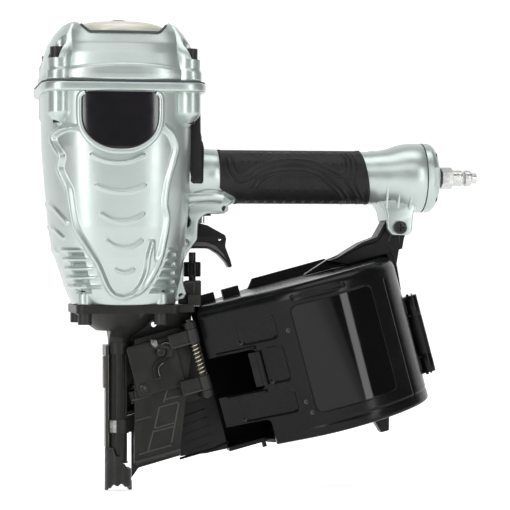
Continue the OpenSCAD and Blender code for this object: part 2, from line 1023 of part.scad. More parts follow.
module magazine_body() {
    bracket = [
        [156, 168], [162, 170], [180, 181], [192, 185.5], [197.6, 195.4], [201, 200], [212, 200],
        [214.6, 190], [212.6, 184], [209, 163], [213, 140], [205, 128], [196, 160],
    ];
    color(plastic)
        difference() {
            union() {
                feed_frame() {
                    difference() {
                        half_drum(1, drum_r, 0, drum_w, drum_w + drum_h);
                        half_drum(1, drum_r - drum_wall, drum_wall, drum_w + 3, drum_w + drum_h - 3);
                    }
                    // floor under both halves
                    translate([drum_u, 0, drum_w])
                        cylinder(r = drum_r - drum_wall - 0.5, h = 2.8);
                    // top rail and tabs
                    xz_plate([[136, 114], [142, 121.5], [200, 121.5], [206, 114]], 36, 39);
                    for (u = [94, 113])
                        translate([u, 10, 112])
                            cube([13, 4, 9]);
                    // foot that the tool rests on
                    xz_plate([[195, 5], [211, 5], [206, -12.5], [200, -12.5]], -5, 5);
                    translate([112.6, 5, 0])
                        cube([3, 3, 8]);
                    // hinge knuckle
                    translate([door_hinge_u, 0, 35.4])
                        cylinder(r = 5.4, h = 29.2);
                    translate([234, 2, 35.4])
                        cube([14, 3.4, 29.2]);
                }
                far_link();
                xz_plate(bracket, 0.6, 9.2);
                intersection() {
                    xz_plate(bracket, -9.2, 1);
                    feed_frame()
                        translate([150, -20, 116])
                            cube([200, 40, 100]);
                }
            }
            // the far half opens into the throat
            feed_frame()
                half_drum(1, drum_r - drum_wall, drum_wall, drum_w + 3, drum_w + drum_h - 3);
            feed_frame()
                translate([throat_u - 20, gap - 0.1, 52])
                    cube([24, throat_y - drum_wall, 50]);
            on_feed_axis(50)
                cylinder(r = feed_cylinder_r + 0.1, h = 42.2);
            feed_frame()
                translate([door_hinge_u, 0, 10])
                    cylinder(r = door_pin_r + 0.05, h = 90);
            translate([lug_bolt_x, 0, lug_bolt_z])
                rotate([90, 0, 0])
                    cylinder(r = 3 + screw_clear, h = 50, center = true);
        }
}

module bracket_bolt() {
    color(dark_steel)
        translate([lug_bolt_x, -15.05, lug_bolt_z])
            rotate([90, 0, 0])
                difference() {
                    cap_screw(0, 4.8, 3, 3, 37, 0);
                    for (a = [0, 90])
                        rotate(a)
                            translate([0, 0, 2.6])
                                cube([5.4, 1.2, 2.4], center = true);
                }
}

module bracket_nut() {
    color(dark_steel)
        translate([lug_bolt_x, 20.1, lug_bolt_z])
            rotate([90, 0, 0])
                difference() {
                    cylinder(d = 10 / cos(30), h = 5, $fn = 6);
                    translate([0, 0, -1])
                        cylinder(r = 3.05, h = 8);
                }
}

window_u = [147, 209];
window_w = [21, 100.5];

module window_block(inset) {
    translate([window_u[0] + inset, -far, window_w[0] + inset])
        cube([window_u[1] - window_u[0] - 2 * inset, far - 20, window_w[1] - window_w[0] - 2 * inset]);
}

module magazine_door() {
    color(plastic)
        feed_frame()
            difference() {
                union() {
                    difference() {
                        half_drum(-1, drum_r, 0, drum_w, drum_w + drum_h);
                        half_drum(-1, drum_r - drum_wall, drum_wall, drum_w - 2, drum_w + drum_h - 3);
                    }
                    for (w = [[21, 35.2], [64.8, 80]])
                        translate([0, 0, w[0]]) {
                            translate([door_hinge_u, 0, 0])
                                cylinder(r = 5.4, h = w[1] - w[0]);
                            translate([234, -5.4, 0])
                                cube([14, 3.4, w[1] - w[0]]);
                        }
                }
                half_drum(-1, drum_r - drum_wall, drum_wall, drum_w - 2, drum_w + drum_h - 3);
                window_block(0);
                // the notch beside the feeder, and the free lower left corner
                translate([throat_u - 5, -far, 46])
                    cube([36, far, 30]);
                translate([throat_u - 5, -far, -5])
                    cube([34, far, 29]);
                // the throat's end wall is open for the strip of nails
                translate([throat_u - 5, -throat_y + drum_wall, -5])
                    cube([12, throat_y, 130]);
                translate([door_hinge_u, 0, 10])
                    cylinder(r = door_pin_r + 0.05, h = 90);
            }
}

module magazine_window() {
    color([0.1, 0.1, 0.12])
        feed_frame()
            intersection() {
                translate([drum_u, 0, 0])
                    ring(drum_r + 0.1, drum_r - 2.4, 0, 120);
                window_block(gap);
            }
}

module magazine_hinge_pin() {
    color(steel)
        feed_frame()
            translate([door_hinge_u, 0, 19.5])
                cylinder(r = door_pin_r, h = 62);
}

// Children stand in a frame on the door's slanted wall: X along it, -Y outwards.
module on_throat_wall() {
    a = tangent_turn(drum_r) - 270;
    feed_frame()
        translate([throat_u, -throat_y, 0])
            rotate(a)
                children();
}

module magazine_latch() {
    color(plastic)
        on_throat_wall() {
            translate([latch_along - 7.5, -3.6, 49])
                cube([7.5, 3, 25]);
            translate([latch_along, -2.6, 49])
                cylinder(r = 2, h = 25);
        }
}

module nail_tray() {
    color(plastic)
        feed_frame()
            translate([drum_u, 0, 0]) {
                ring(tray_r, post_r + 0.05, 20, 23);
                ring(post_r + 4, post_r + 0.05, 22.9, 30);
            }
}

module tray_post() {
    color(plastic)
        feed_frame()
            translate([drum_u, 0, drum_w + 3.04])
                cylinder(r = post_r, h = 77.8);
}

body_housing();
head_gasket();
head_cap();
cap_bolts();
exhaust_deflector();
deflector_screw();
badge();
rubber_pad();
handle_grip();
end_cap();
end_cap_gasket();
end_cap_screws();
air_plug();
plug_seal();
cylinder_sleeve();
sleeve_seal();
piston_bumper();
head_valve();
head_valve_spring();
head_cushion();
piston();
piston_ring();
driver_blade();
trigger_valve_body();
valve_plunger();
valve_spring();
trigger();
trigger_pin();
trigger_spring();
trigger_arm();
trigger_arm_pin();
nose_body();
nose_bolts();
contact_foot();
push_lever();
adjuster_dial();
lever_spring();
feed_cylinder();
feed_piston();
feed_spring();
feed_pawl();
pawl_pin();
nail_guide_door();
guide_door_screws();
door_latch();
latch_screw();
guide_hinge_pin();
guide_hinge_spring();
magazine_body();
bracket_bolt();
bracket_nut();
magazine_door();
magazine_window();
magazine_hinge_pin();
magazine_latch();
nail_tray();
tray_post();
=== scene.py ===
import json
import math

import bmesh
import bpy
import numpy as np
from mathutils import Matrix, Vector


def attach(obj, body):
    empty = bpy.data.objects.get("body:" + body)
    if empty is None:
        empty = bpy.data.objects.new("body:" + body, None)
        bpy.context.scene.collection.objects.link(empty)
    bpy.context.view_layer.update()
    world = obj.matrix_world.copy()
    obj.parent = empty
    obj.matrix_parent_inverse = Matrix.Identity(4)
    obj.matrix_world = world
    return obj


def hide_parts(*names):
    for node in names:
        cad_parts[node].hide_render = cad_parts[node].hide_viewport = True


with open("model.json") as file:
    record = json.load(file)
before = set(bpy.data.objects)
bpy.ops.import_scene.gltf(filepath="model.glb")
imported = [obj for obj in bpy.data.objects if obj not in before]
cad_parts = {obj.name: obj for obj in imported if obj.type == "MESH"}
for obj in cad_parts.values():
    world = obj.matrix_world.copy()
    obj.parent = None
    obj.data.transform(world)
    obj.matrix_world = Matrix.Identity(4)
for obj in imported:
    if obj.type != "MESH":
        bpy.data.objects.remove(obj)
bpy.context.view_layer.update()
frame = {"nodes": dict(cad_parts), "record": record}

# Lengths below are millimetres; MM turns them into Blender's metres.
MM = 0.001
FEED_ANGLE = math.radians(15)
COS_FEED = math.cos(FEED_ANGLE)
SIN_FEED = math.sin(FEED_ANGLE)

# Axes that several sections share.
HANDLE_Z = 229.7
DRUM_U = 176.0
DRUM_RADIUS = 65.0
DRUM_HINGE_U = 248.0
DIAL_X = 54.6
TRIGGER_PIVOT = (47.8, 181.1)
CORNERS = [(sx, sy) for sx in (-1, 1) for sy in (-1, 1)]
# A distance longer than any on the tool.
FAR_AWAY = 1e9


# ---------------------------------------------------------------- placing

def as_built(points):
    """Local x, y, z are the model's own."""
    return points


def upright(points):
    """Local (x, z, depth): an outline seen from the front, with its thickness along Y."""
    return points[:, [0, 2, 1]]


def along_x(points):
    """Local axis z becomes the handle's axis, X, at the handle's height."""
    x, y, z = points.T
    return np.stack([z, x, y + HANDLE_Z], axis=1)


def feed_axes(points):
    """Local (u, y, w) in the tilted frame of the nail feed."""
    u, y, w = points.T
    return np.stack([u * COS_FEED - w * SIN_FEED, y, u * SIN_FEED + w * COS_FEED], axis=1)


def feed_side(points):
    """Local (u, w, depth): an outline seen from the front in the feed frame."""
    return feed_axes(points[:, [0, 2, 1]])


def about_axis(angle):
    """Turned about the driver's axis."""
    def place(points):
        x, y, z = points.T
        cos, sin = math.cos(angle), math.sin(angle)
        return np.stack([x * cos - y * sin, x * sin + y * cos, z], axis=1)
    return place


# ---------------------------------------------------------------- outlines

def circle(cx, cy, radius, steps=32):
    turns = np.linspace(0, 2 * math.pi, steps, endpoint=False)
    return [(cx + radius * math.cos(t), cy + radius * math.sin(t)) for t in turns]


def rounded(outline, radius, steps=5):
    """The closed outline with each corner turned into an arc that fits beside it."""
    result = []
    count = len(outline)
    for i, corner in enumerate(outline):
        here = Vector(corner[:2])
        before = Vector(outline[i - 1][:2]) - here
        after = Vector(outline[(i + 1) % count][:2]) - here
        turn = before.angle(after)
        want = corner[2] if len(corner) > 2 else radius
        reach = want / math.tan(turn / 2)
        reach = min(reach, before.length * 0.48, after.length * 0.48)
        if turn > math.radians(172) or reach < 0.02:
            result.append(tuple(here))
            continue
        start = here + before.normalized() * reach
        end = here + after.normalized() * reach
        for k in range(steps + 1):
            t = k / steps
            result.append(tuple(start * (1 - t) ** 2 + here * 2 * t * (1 - t) + end * t * t))
    return result


def rounded_box(x0, x1, z0, z1, radius, steps=5):
    return rounded([(x0, z0), (x1, z0), (x1, z1), (x0, z1)], radius, steps)


def dense_outline(outline, spacing=4):
    """The closed outline with its long level runs divided, so that it can follow a curved wall."""
    path = []
    for (u0, w0), (u1, w1) in zip(outline, outline[1:] + outline[:1]):
        count = max(1, int(abs(u1 - u0) / spacing))
        path += [(u0 + (u1 - u0) * k / count, w0 + (w1 - w0) * k / count) for k in range(count)]
    return path


def ring(radius, height, cx, cy, steps):
    """A level circle of points."""
    turns = np.linspace(0, 2 * math.pi, steps, endpoint=False)
    return [(cx + radius * math.cos(t), cy + radius * math.sin(t), height) for t in turns]


def section(turns, radius, height):
    """A level outline round the axis, whose radius can differ with the turn."""
    return np.stack([radius * np.cos(turns), radius * np.sin(turns), np.full_like(turns, height)], axis=1)


def smooth_line(points, steps=6):
    """A Catmull-Rom curve through the points."""
    p = [np.array(q, float) for q in points]
    p = [2 * p[0] - p[1]] + p + [2 * p[-1] - p[-2]]
    line = []
    for a, b, c, d in zip(p, p[1:], p[2:], p[3:]):
        for k in range(steps):
            t = k / steps
            line.append(0.5 * (2 * b + (c - a) * t + (2 * a - 5 * b + 4 * c - d) * t * t
                               + (3 * b - a - 3 * c + d) * t ** 3))
    line.append(p[-2])
    return [tuple(q) for q in line]


# ---------------------------------------------------------------- meshes

def finish_piece(name, mesh, material, body, sharp):
    mesh.validate()
    work = bmesh.new()
    work.from_mesh(mesh)
    bmesh.ops.remove_doubles(work, verts=work.verts, dist=1e-6)
    bmesh.ops.recalc_face_normals(work, faces=work.faces)
    work.to_mesh(mesh)
    work.free()
    mesh.shade_smooth()
    mesh.set_sharp_from_angle(angle=math.radians(sharp))
    piece = bpy.data.objects.new(name, mesh)
    bpy.context.scene.collection.objects.link(piece)
    mesh.materials.append(material)
    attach(piece, body)
    return piece


def build(name, points, faces, look, body, place=as_built, sharp=35):
    mesh = bpy.data.meshes.new(name)
    placed = place(np.array(points, float)) * MM
    mesh.from_pydata(placed.tolist(), [], faces)
    return finish_piece(name, mesh, look[0], body, sharp)


def plate(name, outlines, low, high, edge, look, body, place=upright, sharp=35, rounds=2):
    """A flat plate: the first outline less the others, from low to high, with rounded edges."""
    curve = bpy.data.curves.new(name, "CURVE")
    curve.dimensions = "2D"
    curve.fill_mode = "BOTH"
    curve.extrude = (high - low) / 2 - edge
    curve.bevel_depth = edge
    curve.bevel_resolution = rounds
    curve.offset = -edge
    for number, outline in enumerate(outlines):
        area = sum(a[0] * b[1] - b[0] * a[1] for a, b in zip(outline, outline[1:] + outline[:1]))
        points = outline if (area > 0) == (number == 0) else outline[::-1]
        spline = curve.splines.new("POLY")
        spline.points.add(len(points) - 1)
        for target, point in zip(spline.points, points):
            target.co = (point[0], point[1], 0, 1)
        spline.use_cyclic_u = True
    holder = bpy.data.objects.new(name + "_outline", curve)
    mesh = bpy.data.meshes.new_from_object(holder)
    bpy.data.objects.remove(holder)
    points = np.array([tuple(v.co) for v in mesh.vertices]).reshape(-1, 3)
    points[:, 2] += (low + high) / 2
    faces = [tuple(f.vertices) for f in mesh.polygons]
    return build(name, points, faces, look, body, place, sharp)


def grid_faces(rows, columns, wrap=True):
    faces = []
    last = columns if wrap else columns - 1
    for r in range(rows - 1):
        for c in range(last):
            d = (c + 1) % columns
            faces.append((r * columns + c, r * columns + d, (r + 1) * columns + d, (r + 1) * columns + c))
    return faces


def panel_faces(rows, columns):
    """Faces of a closed panel: a front grid, a back grid behind it and the edge between them."""
    faces = grid_faces(rows, columns, wrap=False)
    back = rows * columns
    faces += [tuple(i + back for i in face[::-1]) for face in faces]
    border = (list(range(columns)) + [r * columns + columns - 1 for r in range(1, rows)]
              + [(rows - 1) * columns + c for c in range(columns - 2, -1, -1)]
              + [r * columns for r in range(rows - 2, 0, -1)])
    faces += [(a, b, b + back, a + back) for a, b in zip(border, border[1:] + border[:1])]
    return faces


def shell(name, rings, look, body, place=as_built, sharp=35):
    """A closed skin through rings of equal length, with its two ends filled."""
    rings = np.array(rings, float)
    rows, columns = rings.shape[:2]
    faces = grid_faces(rows, columns)
    faces.append(tuple(range(columns)))
    faces.append(tuple(range((rows - 1) * columns, rows * columns)))
    return build(name, rings.reshape(-1, 3), faces, look, body, place, sharp)


def turned(name, profile, look, body, place=as_built, sharp=35, steps=96):
    """A turned piece from a profile of (radius, height) that starts and ends on the axis."""
    rings = [ring(max(radius, 0.001), height, 0, 0, steps) for radius, height in profile]
    return shell(name, rings, look, body, place, sharp)


def rod(name, path, radius, look, body, place=as_built, sides=12, closed=False):
    """A round bar along a path."""
    path = [Vector(p) for p in path]
    rings = []
    count = len(path)
    side = None
    for i, point in enumerate(path):
        ahead = path[(i + 1) % count] if closed else path[min(i + 1, count - 1)]
        behind = path[i - 1] if closed else path[max(i - 1, 0)]
        along = (ahead - behind).normalized()
        if side is None:
            side = along.orthogonal().normalized()
        side = (side - along * side.dot(along)).normalized()
        other = along.cross(side)
        around = []
        for k in range(sides):
            turn = 2 * math.pi * k / sides
            offset = (side * math.cos(turn) + other * math.sin(turn)) * radius
            around.append((point.x + offset.x, point.y + offset.y, point.z + offset.z))
        rings.append(around)
    if not closed:
        return shell(name, rings, look, body, place)
    points = np.array(rings).reshape(-1, 3)
    faces = grid_faces(count, sides)
    faces += [((count - 1) * sides + k, (count - 1) * sides + (k + 1) % sides, (k + 1) % sides, k)
              for k in range(sides)]
    return build(name, points, faces, look, body, place)


def block(name, x, y, z, edge, look, body, place=as_built):
    """A box between two corners, given as (low, high) pairs, with rounded edges."""
    turned_place = (lambda p: place(p[:, [0, 2, 1]]))
    outline = [(x[0], z[0]), (x[1], z[0]), (x[1], z[1]), (x[0], z[1])]
    return plate(name, [rounded(outline, edge, 3)], y[0], y[1], edge, look, body, turned_place)


def cut(piece, cutters, sharp=40):
    """Cuts closed pieces out of a closed piece, and removes the cutters."""
    for cutter in cutters:
        difference = piece.modifiers.new("cut", "BOOLEAN")
        difference.object = cutter
        difference.operation = "DIFFERENCE"
        difference.solver = "EXACT"
    graph = bpy.context.evaluated_depsgraph_get()
    mesh = bpy.data.meshes.new_from_object(piece.evaluated_get(graph))
    piece.modifiers.clear()
    look = piece.data.materials[0]
    piece.data = mesh
    mesh.materials.clear()
    mesh.materials.append(look)
    mesh.polygons.foreach_set("material_index", [0] * len(mesh.polygons))
    mesh.shade_smooth()
    mesh.set_sharp_from_angle(angle=math.radians(sharp))
    for cutter in cutters:
        bpy.data.objects.remove(cutter)


# ---------------------------------------------------------------- reliefs

def distance_to(x, z, line):
    """The distance from each point to a chain of points."""
    best = np.full(np.shape(x), FAR_AWAY)
    for (x0, z0), (x1, z1) in zip(line, line[1:]):
        dx, dz = x1 - x0, z1 - z0
        t = np.clip(((x - x0) * dx + (z - z0) * dz) / (dx * dx + dz * dz + 1e-9), 0, 1)
        best = np.minimum(best, np.hypot(x - x0 - t * dx, z - z0 - t * dz))
    return best


def inside(x, z, outline):
    """True where a point lies in the closed outline."""
    result = np.zeros(np.shape(x), bool)
    for (x0, z0), (x1, z1) in zip(outline, outline[1:] + outline[:1]):
        crosses = (z0 > z) != (z1 > z)
        at = x0 + (z - z0) * (x1 - x0) / ((z1 - z0) or 1e-9)
        result ^= crosses & (x < at)
    return result


def ease(t):
    t = np.clip(t, 0, 1)
    return t * t * (3 - 2 * t)


def bead(distance, half_width):
    """A rounded ridge: 1 on its line, 0 beyond its half width."""
    return ease(1 - distance / half_width)


def sunk(x, z, outline, slope):
    """1 inside a closed outline, easing to 0 at its edge over the slope."""
    edge = distance_to(x, z, outline + outline[:1])
    return np.where(inside(x, z, outline), ease(edge / slope), 0)


# ---------------------------------------------------------------- materials

def mix_colour(nodes, links, factor, first, second):
    mix = nodes.new("ShaderNodeMix")
    mix.data_type = "RGBA"
    links.new(factor, mix.inputs["Factor"])
    for socket, value in ((mix.inputs["A"], first), (mix.inputs["B"], second)):
        if isinstance(value, tuple):
            socket.default_value = (*value, 1)
        else:
            links.new(value, socket)
    return mix.outputs["Result"]


def noise(nodes, links, where, size, detail=3, roughness=0.55):
    """Noise whose features are about size millimetres across."""
    texture = nodes.new("ShaderNodeTexNoise")
    texture.inputs["Scale"].default_value = 1 / (size * MM)
    texture.inputs["Detail"].default_value = detail
    texture.inputs["Roughness"].default_value = roughness
    links.new(where, texture.inputs["Vector"])
    return texture.outputs["Fac"]


def map_range(nodes, links, value, from_low, from_high, low, high):
    node = nodes.new("ShaderNodeMapRange")
    for socket, number in zip(list(node.inputs)[1:5], (from_low, from_high, low, high)):
        socket.default_value = number
    links.new(value, node.inputs["Value"])
    return node.outputs["Result"]


def surface(name, slot, colour, second, metallic, roughness, grain, depth,
            patch=18, spread=0.08, coat=0.0, worn=None, fleck=None, specular=0.5, scratch=0.0):
    """A painted, moulded or metal finish.

    colour and second are mixed in patches about patch mm across; grain mm and depth mm are the
    bump's size and height; spread is how far the roughness wanders; worn is the colour that
    convex edges wear to; fleck is (size in mm, amount) of the sparkle in a metallic paint."""
    material = bpy.data.materials.new(name)
    material.use_nodes = True
    nodes = material.node_tree.nodes
    links = material.node_tree.links
    shader = nodes["Principled BSDF"]
    where = nodes.new("ShaderNodeTexCoord").outputs["Object"]
    patches = map_range(nodes, links, noise(nodes, links, where, patch), 0.3, 0.7, 0, 1)
    tone = mix_colour(nodes, links, patches, colour, second)
    grains = noise(nodes, links, where, grain, 2)
    if fleck:
        sparks = map_range(nodes, links, noise(nodes, links, where, fleck[0], 1), 0.58, 0.72, 0, fleck[1])
        tone = mix_colour(nodes, links, sparks, tone, tuple(min(1, 1.25 * c + 0.1) for c in colour))
    if worn:
        pointed = nodes.new("ShaderNodeNewGeometry").outputs["Pointiness"]
        edges = map_range(nodes, links, pointed, 0.53, 0.62, 0, 0.75)
        tone = mix_colour(nodes, links, edges, tone, worn)
    links.new(tone, shader.inputs["Base Color"])
    smear = noise(nodes, links, where, patch * 0.35, 4)
    low, high = max(0.03, roughness - spread), roughness + spread
    links.new(map_range(nodes, links, smear, 0.3, 0.7, low, high), shader.inputs["Roughness"])
    shader.inputs["Metallic"].default_value = metallic
    shader.inputs["Specular IOR Level"].default_value = specular
    if coat:
        shader.inputs["Coat Weight"].default_value = coat
        shader.inputs["Coat Roughness"].default_value = 0.12
    bump = nodes.new("ShaderNodeBump")
    bump.inputs["Distance"].default_value = depth * MM
    bump.inputs["Strength"].default_value = 0.6
    links.new(grains, bump.inputs["Height"])
    links.new(bump.outputs["Normal"], shader.inputs["Normal"])
    if scratch:
        stretched = nodes.new("ShaderNodeMapping")
        stretched.inputs["Scale"].default_value = (1, 1, 0.04)
        links.new(where, stretched.inputs["Vector"])
        lines = noise(nodes, links, stretched.outputs["Vector"], 0.5, 2)
        fine = nodes.new("ShaderNodeBump")
        fine.inputs["Distance"].default_value = scratch * MM
        links.new(lines, fine.inputs["Height"])
        links.new(bump.outputs["Normal"], fine.inputs["Normal"])
        links.new(fine.outputs["Normal"], shader.inputs["Normal"])
    return material, slot


SILVER_LOOK = surface("silver_paint", "painted_silver", (0.44, 0.495, 0.475), (0.47, 0.53, 0.51),
                       0.7, 0.34, 0.5, 0.006, 30, 0.03, coat=0.15, fleck=(0.6, 0.18))
CREAM_LOOK = surface("cream_zinc_cast", "cream_zinc", (0.66, 0.64, 0.56), (0.72, 0.70, 0.62),
                0.15, 0.42, 0.6, 0.02, 16, 0.06)
RUBBER_LOOK = surface("black_rubber_moulded", "black_rubber", (0.008, 0.008, 0.0085), (0.014, 0.014, 0.0145),
                       0.0, 0.46, 0.45, 0.03, 14, 0.07, specular=0.22, worn=(0.04, 0.04, 0.042))
GASKET_LOOK = surface("dark_gasket", "gasket", (0.035, 0.042, 0.05), (0.05, 0.058, 0.066),
                 0.0, 0.6, 0.4, 0.03, 8)
BLUE_GASKET_LOOK = surface("blue_grey_gasket", "gasket", (0.10, 0.13, 0.17), (0.13, 0.16, 0.20),
                      0.0, 0.55, 0.4, 0.03, 8)
PLASTIC_LOOK = surface("black_plastic_moulded", "black_plastic", (0.004, 0.004, 0.0042),
                       (0.006, 0.006, 0.0065),
                        0.0, 0.22, 0.5, 0.012, 20, 0.05, specular=0.17)
MATT_LOOK = surface("black_plastic_textured", "black_plastic", (0.006, 0.006, 0.006), (0.010, 0.010, 0.0105),
                     0.0, 0.36, 0.35, 0.03, 16, 0.06, specular=0.17)
WINDOW_LOOK = surface("smoked_window_plastic", "window_plastic", (0.002, 0.002, 0.0022),
                      (0.003, 0.003, 0.0035), 0.0, 0.07, 3.0, 0.006, 30, 0.02, specular=0.28)
BADGE_LOOK = surface("badge_gloss", "badge", (0.004, 0.0035, 0.005), (0.007, 0.006, 0.008),
                     0.0, 0.14, 2.0, 0.008, 25, 0.03, coat=0.5)
GREY_LOOK = surface("worn_plastic_band", "black_plastic", (0.045, 0.042, 0.038), (0.06, 0.056, 0.05),
                    0.0, 0.5, 0.4, 0.03, 8)
STEEL_LOOK = surface("black_oxide_steel", "black_steel", (0.010, 0.010, 0.0095), (0.019, 0.0185, 0.017),
                     0.0, 0.36, 0.5, 0.03, 12, 0.10, worn=(0.14, 0.135, 0.13), specular=0.25)
# Light bare steel that paints highlights: along the latch's edges, on the latch's tip together with its wear,
# and on the left front of the nose band.
STEEL_WEAR_AND_HIGHLIGHT_LOOK = surface("bare_steel_wear_and_painted_highlight", "black_steel", (0.10, 0.10, 0.095), (0.28, 0.275, 0.265),
                     0.8, 0.33, 0.4, 0.02, 5, 0.1, scratch=0.02)
CASTING_LOOK = surface("dark_casting_coat", "dark_casting", (0.009, 0.009, 0.0085), (0.017, 0.0165, 0.015),
                       0.0, 0.38, 0.8, 0.05, 14, 0.08, worn=(0.055, 0.054, 0.05), specular=0.22)
CHROME_LOOK = surface("bright_plated_steel", "bright_steel", (0.72, 0.72, 0.73), (0.80, 0.80, 0.81),
                 1.0, 0.16, 0.8, 0.01, 6, 0.05, scratch=0.01)
ZINC_LOOK = surface("zinc_plated_steel", "plated_steel", (0.50, 0.51, 0.50), (0.60, 0.61, 0.59),
               0.9, 0.3, 0.6, 0.02, 5, 0.08)
YELLOW_LOOK = surface("yellow_zinc_spring", "yellow_zinc", (0.46, 0.42, 0.27), (0.62, 0.58, 0.42),
                 0.9, 0.28, 0.5, 0.02, 4, 0.08, scratch=0.01)
# Near-black painted shade, put in holes, slots, the badge's groove and the deflector's louvres where only
# shade falls.
PAINTED_SHADE_LOOK = surface("painted_shade_in_openings", "black_steel", (0.006, 0.006, 0.006), (0.010, 0.010, 0.010),
                    0.0, 0.7, 0.6, 0.03, 8)
NYLON_LOOK = surface("nylon_natural", "nylon", (0.62, 0.60, 0.52), (0.68, 0.66, 0.58),
                0.0, 0.45, 0.6, 0.02, 12, 0.06)
BUMPER_LOOK = surface("bumper_urethane", "bumper_rubber", (0.09, 0.07, 0.03), (0.12, 0.10, 0.05),
                 0.0, 0.5, 0.8, 0.03, 10, 0.06)
SEAL_LOOK = surface("seal_rubber", "seal", (0.014, 0.014, 0.014), (0.022, 0.022, 0.022),
               0.0, 0.4, 0.5, 0.02, 8, 0.05)

# The finish of each CAD node by its material slot in the record.
SLOT_LOOKS = {look[1]: look[0] for look in (
    SILVER_LOOK, CREAM_LOOK, RUBBER_LOOK, GASKET_LOOK, WINDOW_LOOK, BADGE_LOOK, CASTING_LOOK, CHROME_LOOK,
    ZINC_LOOK, YELLOW_LOOK, NYLON_LOOK, BUMPER_LOOK, SEAL_LOOK, STEEL_LOOK, MATT_LOOK)}


def dress_cad_nodes():
    """Gives each carried-over node the finish of its slot and rounds its sharp edges."""
    for part in frame["record"]["subparts"]:
        node = frame["nodes"][part["node"]]
        node.data.materials.clear()
        look = BLUE_GASKET_LOOK[0] if part["node"] == "end_cap_gasket" else SLOT_LOOKS[part["material_slot"]]
        node.data.materials.append(look)
        weld = node.modifiers.new("weld", "WELD")
        weld.merge_threshold = 0.005 * MM
        bevel = node.modifiers.new("edges", "BEVEL")
        bevel.width = 0.35 * MM
        bevel.segments = 2
        bevel.limit_method = "ANGLE"
        bevel.angle_limit = math.radians(40)
        normals = node.modifiers.new("normals", "WEIGHTED_NORMAL")
        normals.keep_sharp = False


dress_cad_nodes()


# ---------------------------------------------------------------- barrel of the housing

# Half widths of the barrel (height, distance) to the left, to the right and to the front.
BARREL_LEFT = [(136, 34), (142, 36.6), (148, 38.9), (162, 43.5), (177, 48.6), (192, 50.9), (218, 53.3),
               (249, 55.8), (289, 57)]
BARREL_RIGHT = [(136, 41), (152, 44.5), (172, 47.5), (192, 49.5), (218, 51.5), (249, 52.3), (289, 52.5)]
BARREL_FRONT = [(136, 37), (150, 41), (170, 45), (192, 48), (220, 50.5), (249, 52.2), (289, 52.6)]
BARREL_POWER = 2.7
BARREL_FOOT, BARREL_TOP = 136.0, 289.0
BOSS_X, BOSS_Y, BOSS_R = 46.5, 38.0, 8.6
NOSE_BOLT_X, NOSE_BOLT_Y, FOOT_BOSS_R = 27.5, 30.0, 5.0

SHIELD_LEFT = smooth_line([
    (-30, 262), (-40, 262.5), (-47, 260.5), (-51, 256), (-49, 249), (-45.5, 242), (-46.3, 233), (-40.5, 219),
    (-39, 210), (-35.5, 192), (-27, 177), (-19, 164), (-12.5, 149.5), (-7, 143), (0, 141)])
SHIELD_RIGHT = smooth_line([
    (28, 263), (33.5, 258), (37, 249), (35.5, 241), (30.2, 222.6), (28.6, 208), (30.4, 197), (27.7, 180),
    (24.5, 167), (18, 154), (11, 145.5), (0, 141)])
SHIELD_BRANCH = smooth_line([(19.5, 181), (17, 171), (15.6, 160), (11.5, 150), (6, 144)])
SHIELD_NOTCH = [(20.4, 181), (20.7, 166), (25.3, 171)]


def barrel_outline():
    """The sunken panel's edge, as one closed outline."""
    right = [p for p in SHIELD_RIGHT if p[1] > 172]
    return SHIELD_LEFT + SHIELD_BRANCH[::-1] + SHIELD_NOTCH + right[::-1]


def smile(low_x, low_z, half, rise):
    """A short ridge that sags in the middle."""
    return smooth_line([(low_x - half, low_z + rise), (low_x - half * 0.55, low_z + rise * 0.28),
                        (low_x, low_z),
                        (low_x + half * 0.55, low_z + rise * 0.28), (low_x + half, low_z + rise)])


SMILES = [smile(-6, 238, 19, 5), smile(-3.7, 216.8, 17.8, 4.6), smile(-2, 195.6, 15.4, 5.4),
          smile(-0.6, 177, 12.8, 5), smile(0, 159.4, 6.4, 2)]
FLANK_RIDGES = [[(-53.5, 211), (-41, 195)], [(-52, 194), (-43, 184)], [(-50.5, 179), (-46, 173.5)]]
FIN_HEIGHTS = [175.2 - 6.5 * k for k in range(5)]


def fin_relief(x, z):
    """Five short cooling fins on each side of the panel's tip, with slots between them."""
    left_end = -44.5 + (175 - z) * 0.22
    left_stop = np.interp(z, [141, 149.5, 164, 177], [-9, -15.5, -22, -30])
    right_stop = np.interp(z, [145, 154, 167, 180], [16, 22, 28, 31.5])
    left = ease((x - left_end) / 1.5) * ease((left_stop - x) / 1.5)
    right = ease((x - right_stop) / 1.5) * ease((39.5 - x) / 1.5)
    slot_left = ease((x - left_end - 4) / 0.8) * ease((left_end + 15 - x) / 0.8)
    slot_right = ease((x - right_stop - 2) / 0.8) * ease((37.5 - x) / 0.8)
    relief = 0
    for height in FIN_HEIGHTS:
        relief = relief + 1.5 * bead(np.abs(z - height), 1.9) * np.maximum(left, right)
        relief = relief - 2.6 * bead(np.abs(z - height + 3.2), 1.8) * np.maximum(slot_left, slot_right)
    return relief


def barrel_relief(x, z):
    """How far the casting's surface stands out, over the panel, ridges and fins."""
    edge = np.minimum(distance_to(x, z, SHIELD_LEFT), distance_to(x, z, SHIELD_RIGHT))
    relief = -1.9 * sunk(x, z, barrel_outline(), 2.6)
    relief = relief + 1.8 * bead(edge, 2.6) + 1.5 * bead(distance_to(x, z, SHIELD_BRANCH), 2.1)
    for line in SMILES:
        relief = relief + 1.5 * bead(distance_to(x, z, line), 1.9)
    for line in FLANK_RIDGES:
        relief = relief + 0.9 * bead(distance_to(x, z, line), 1.9)
    return relief + fin_relief(x, z)


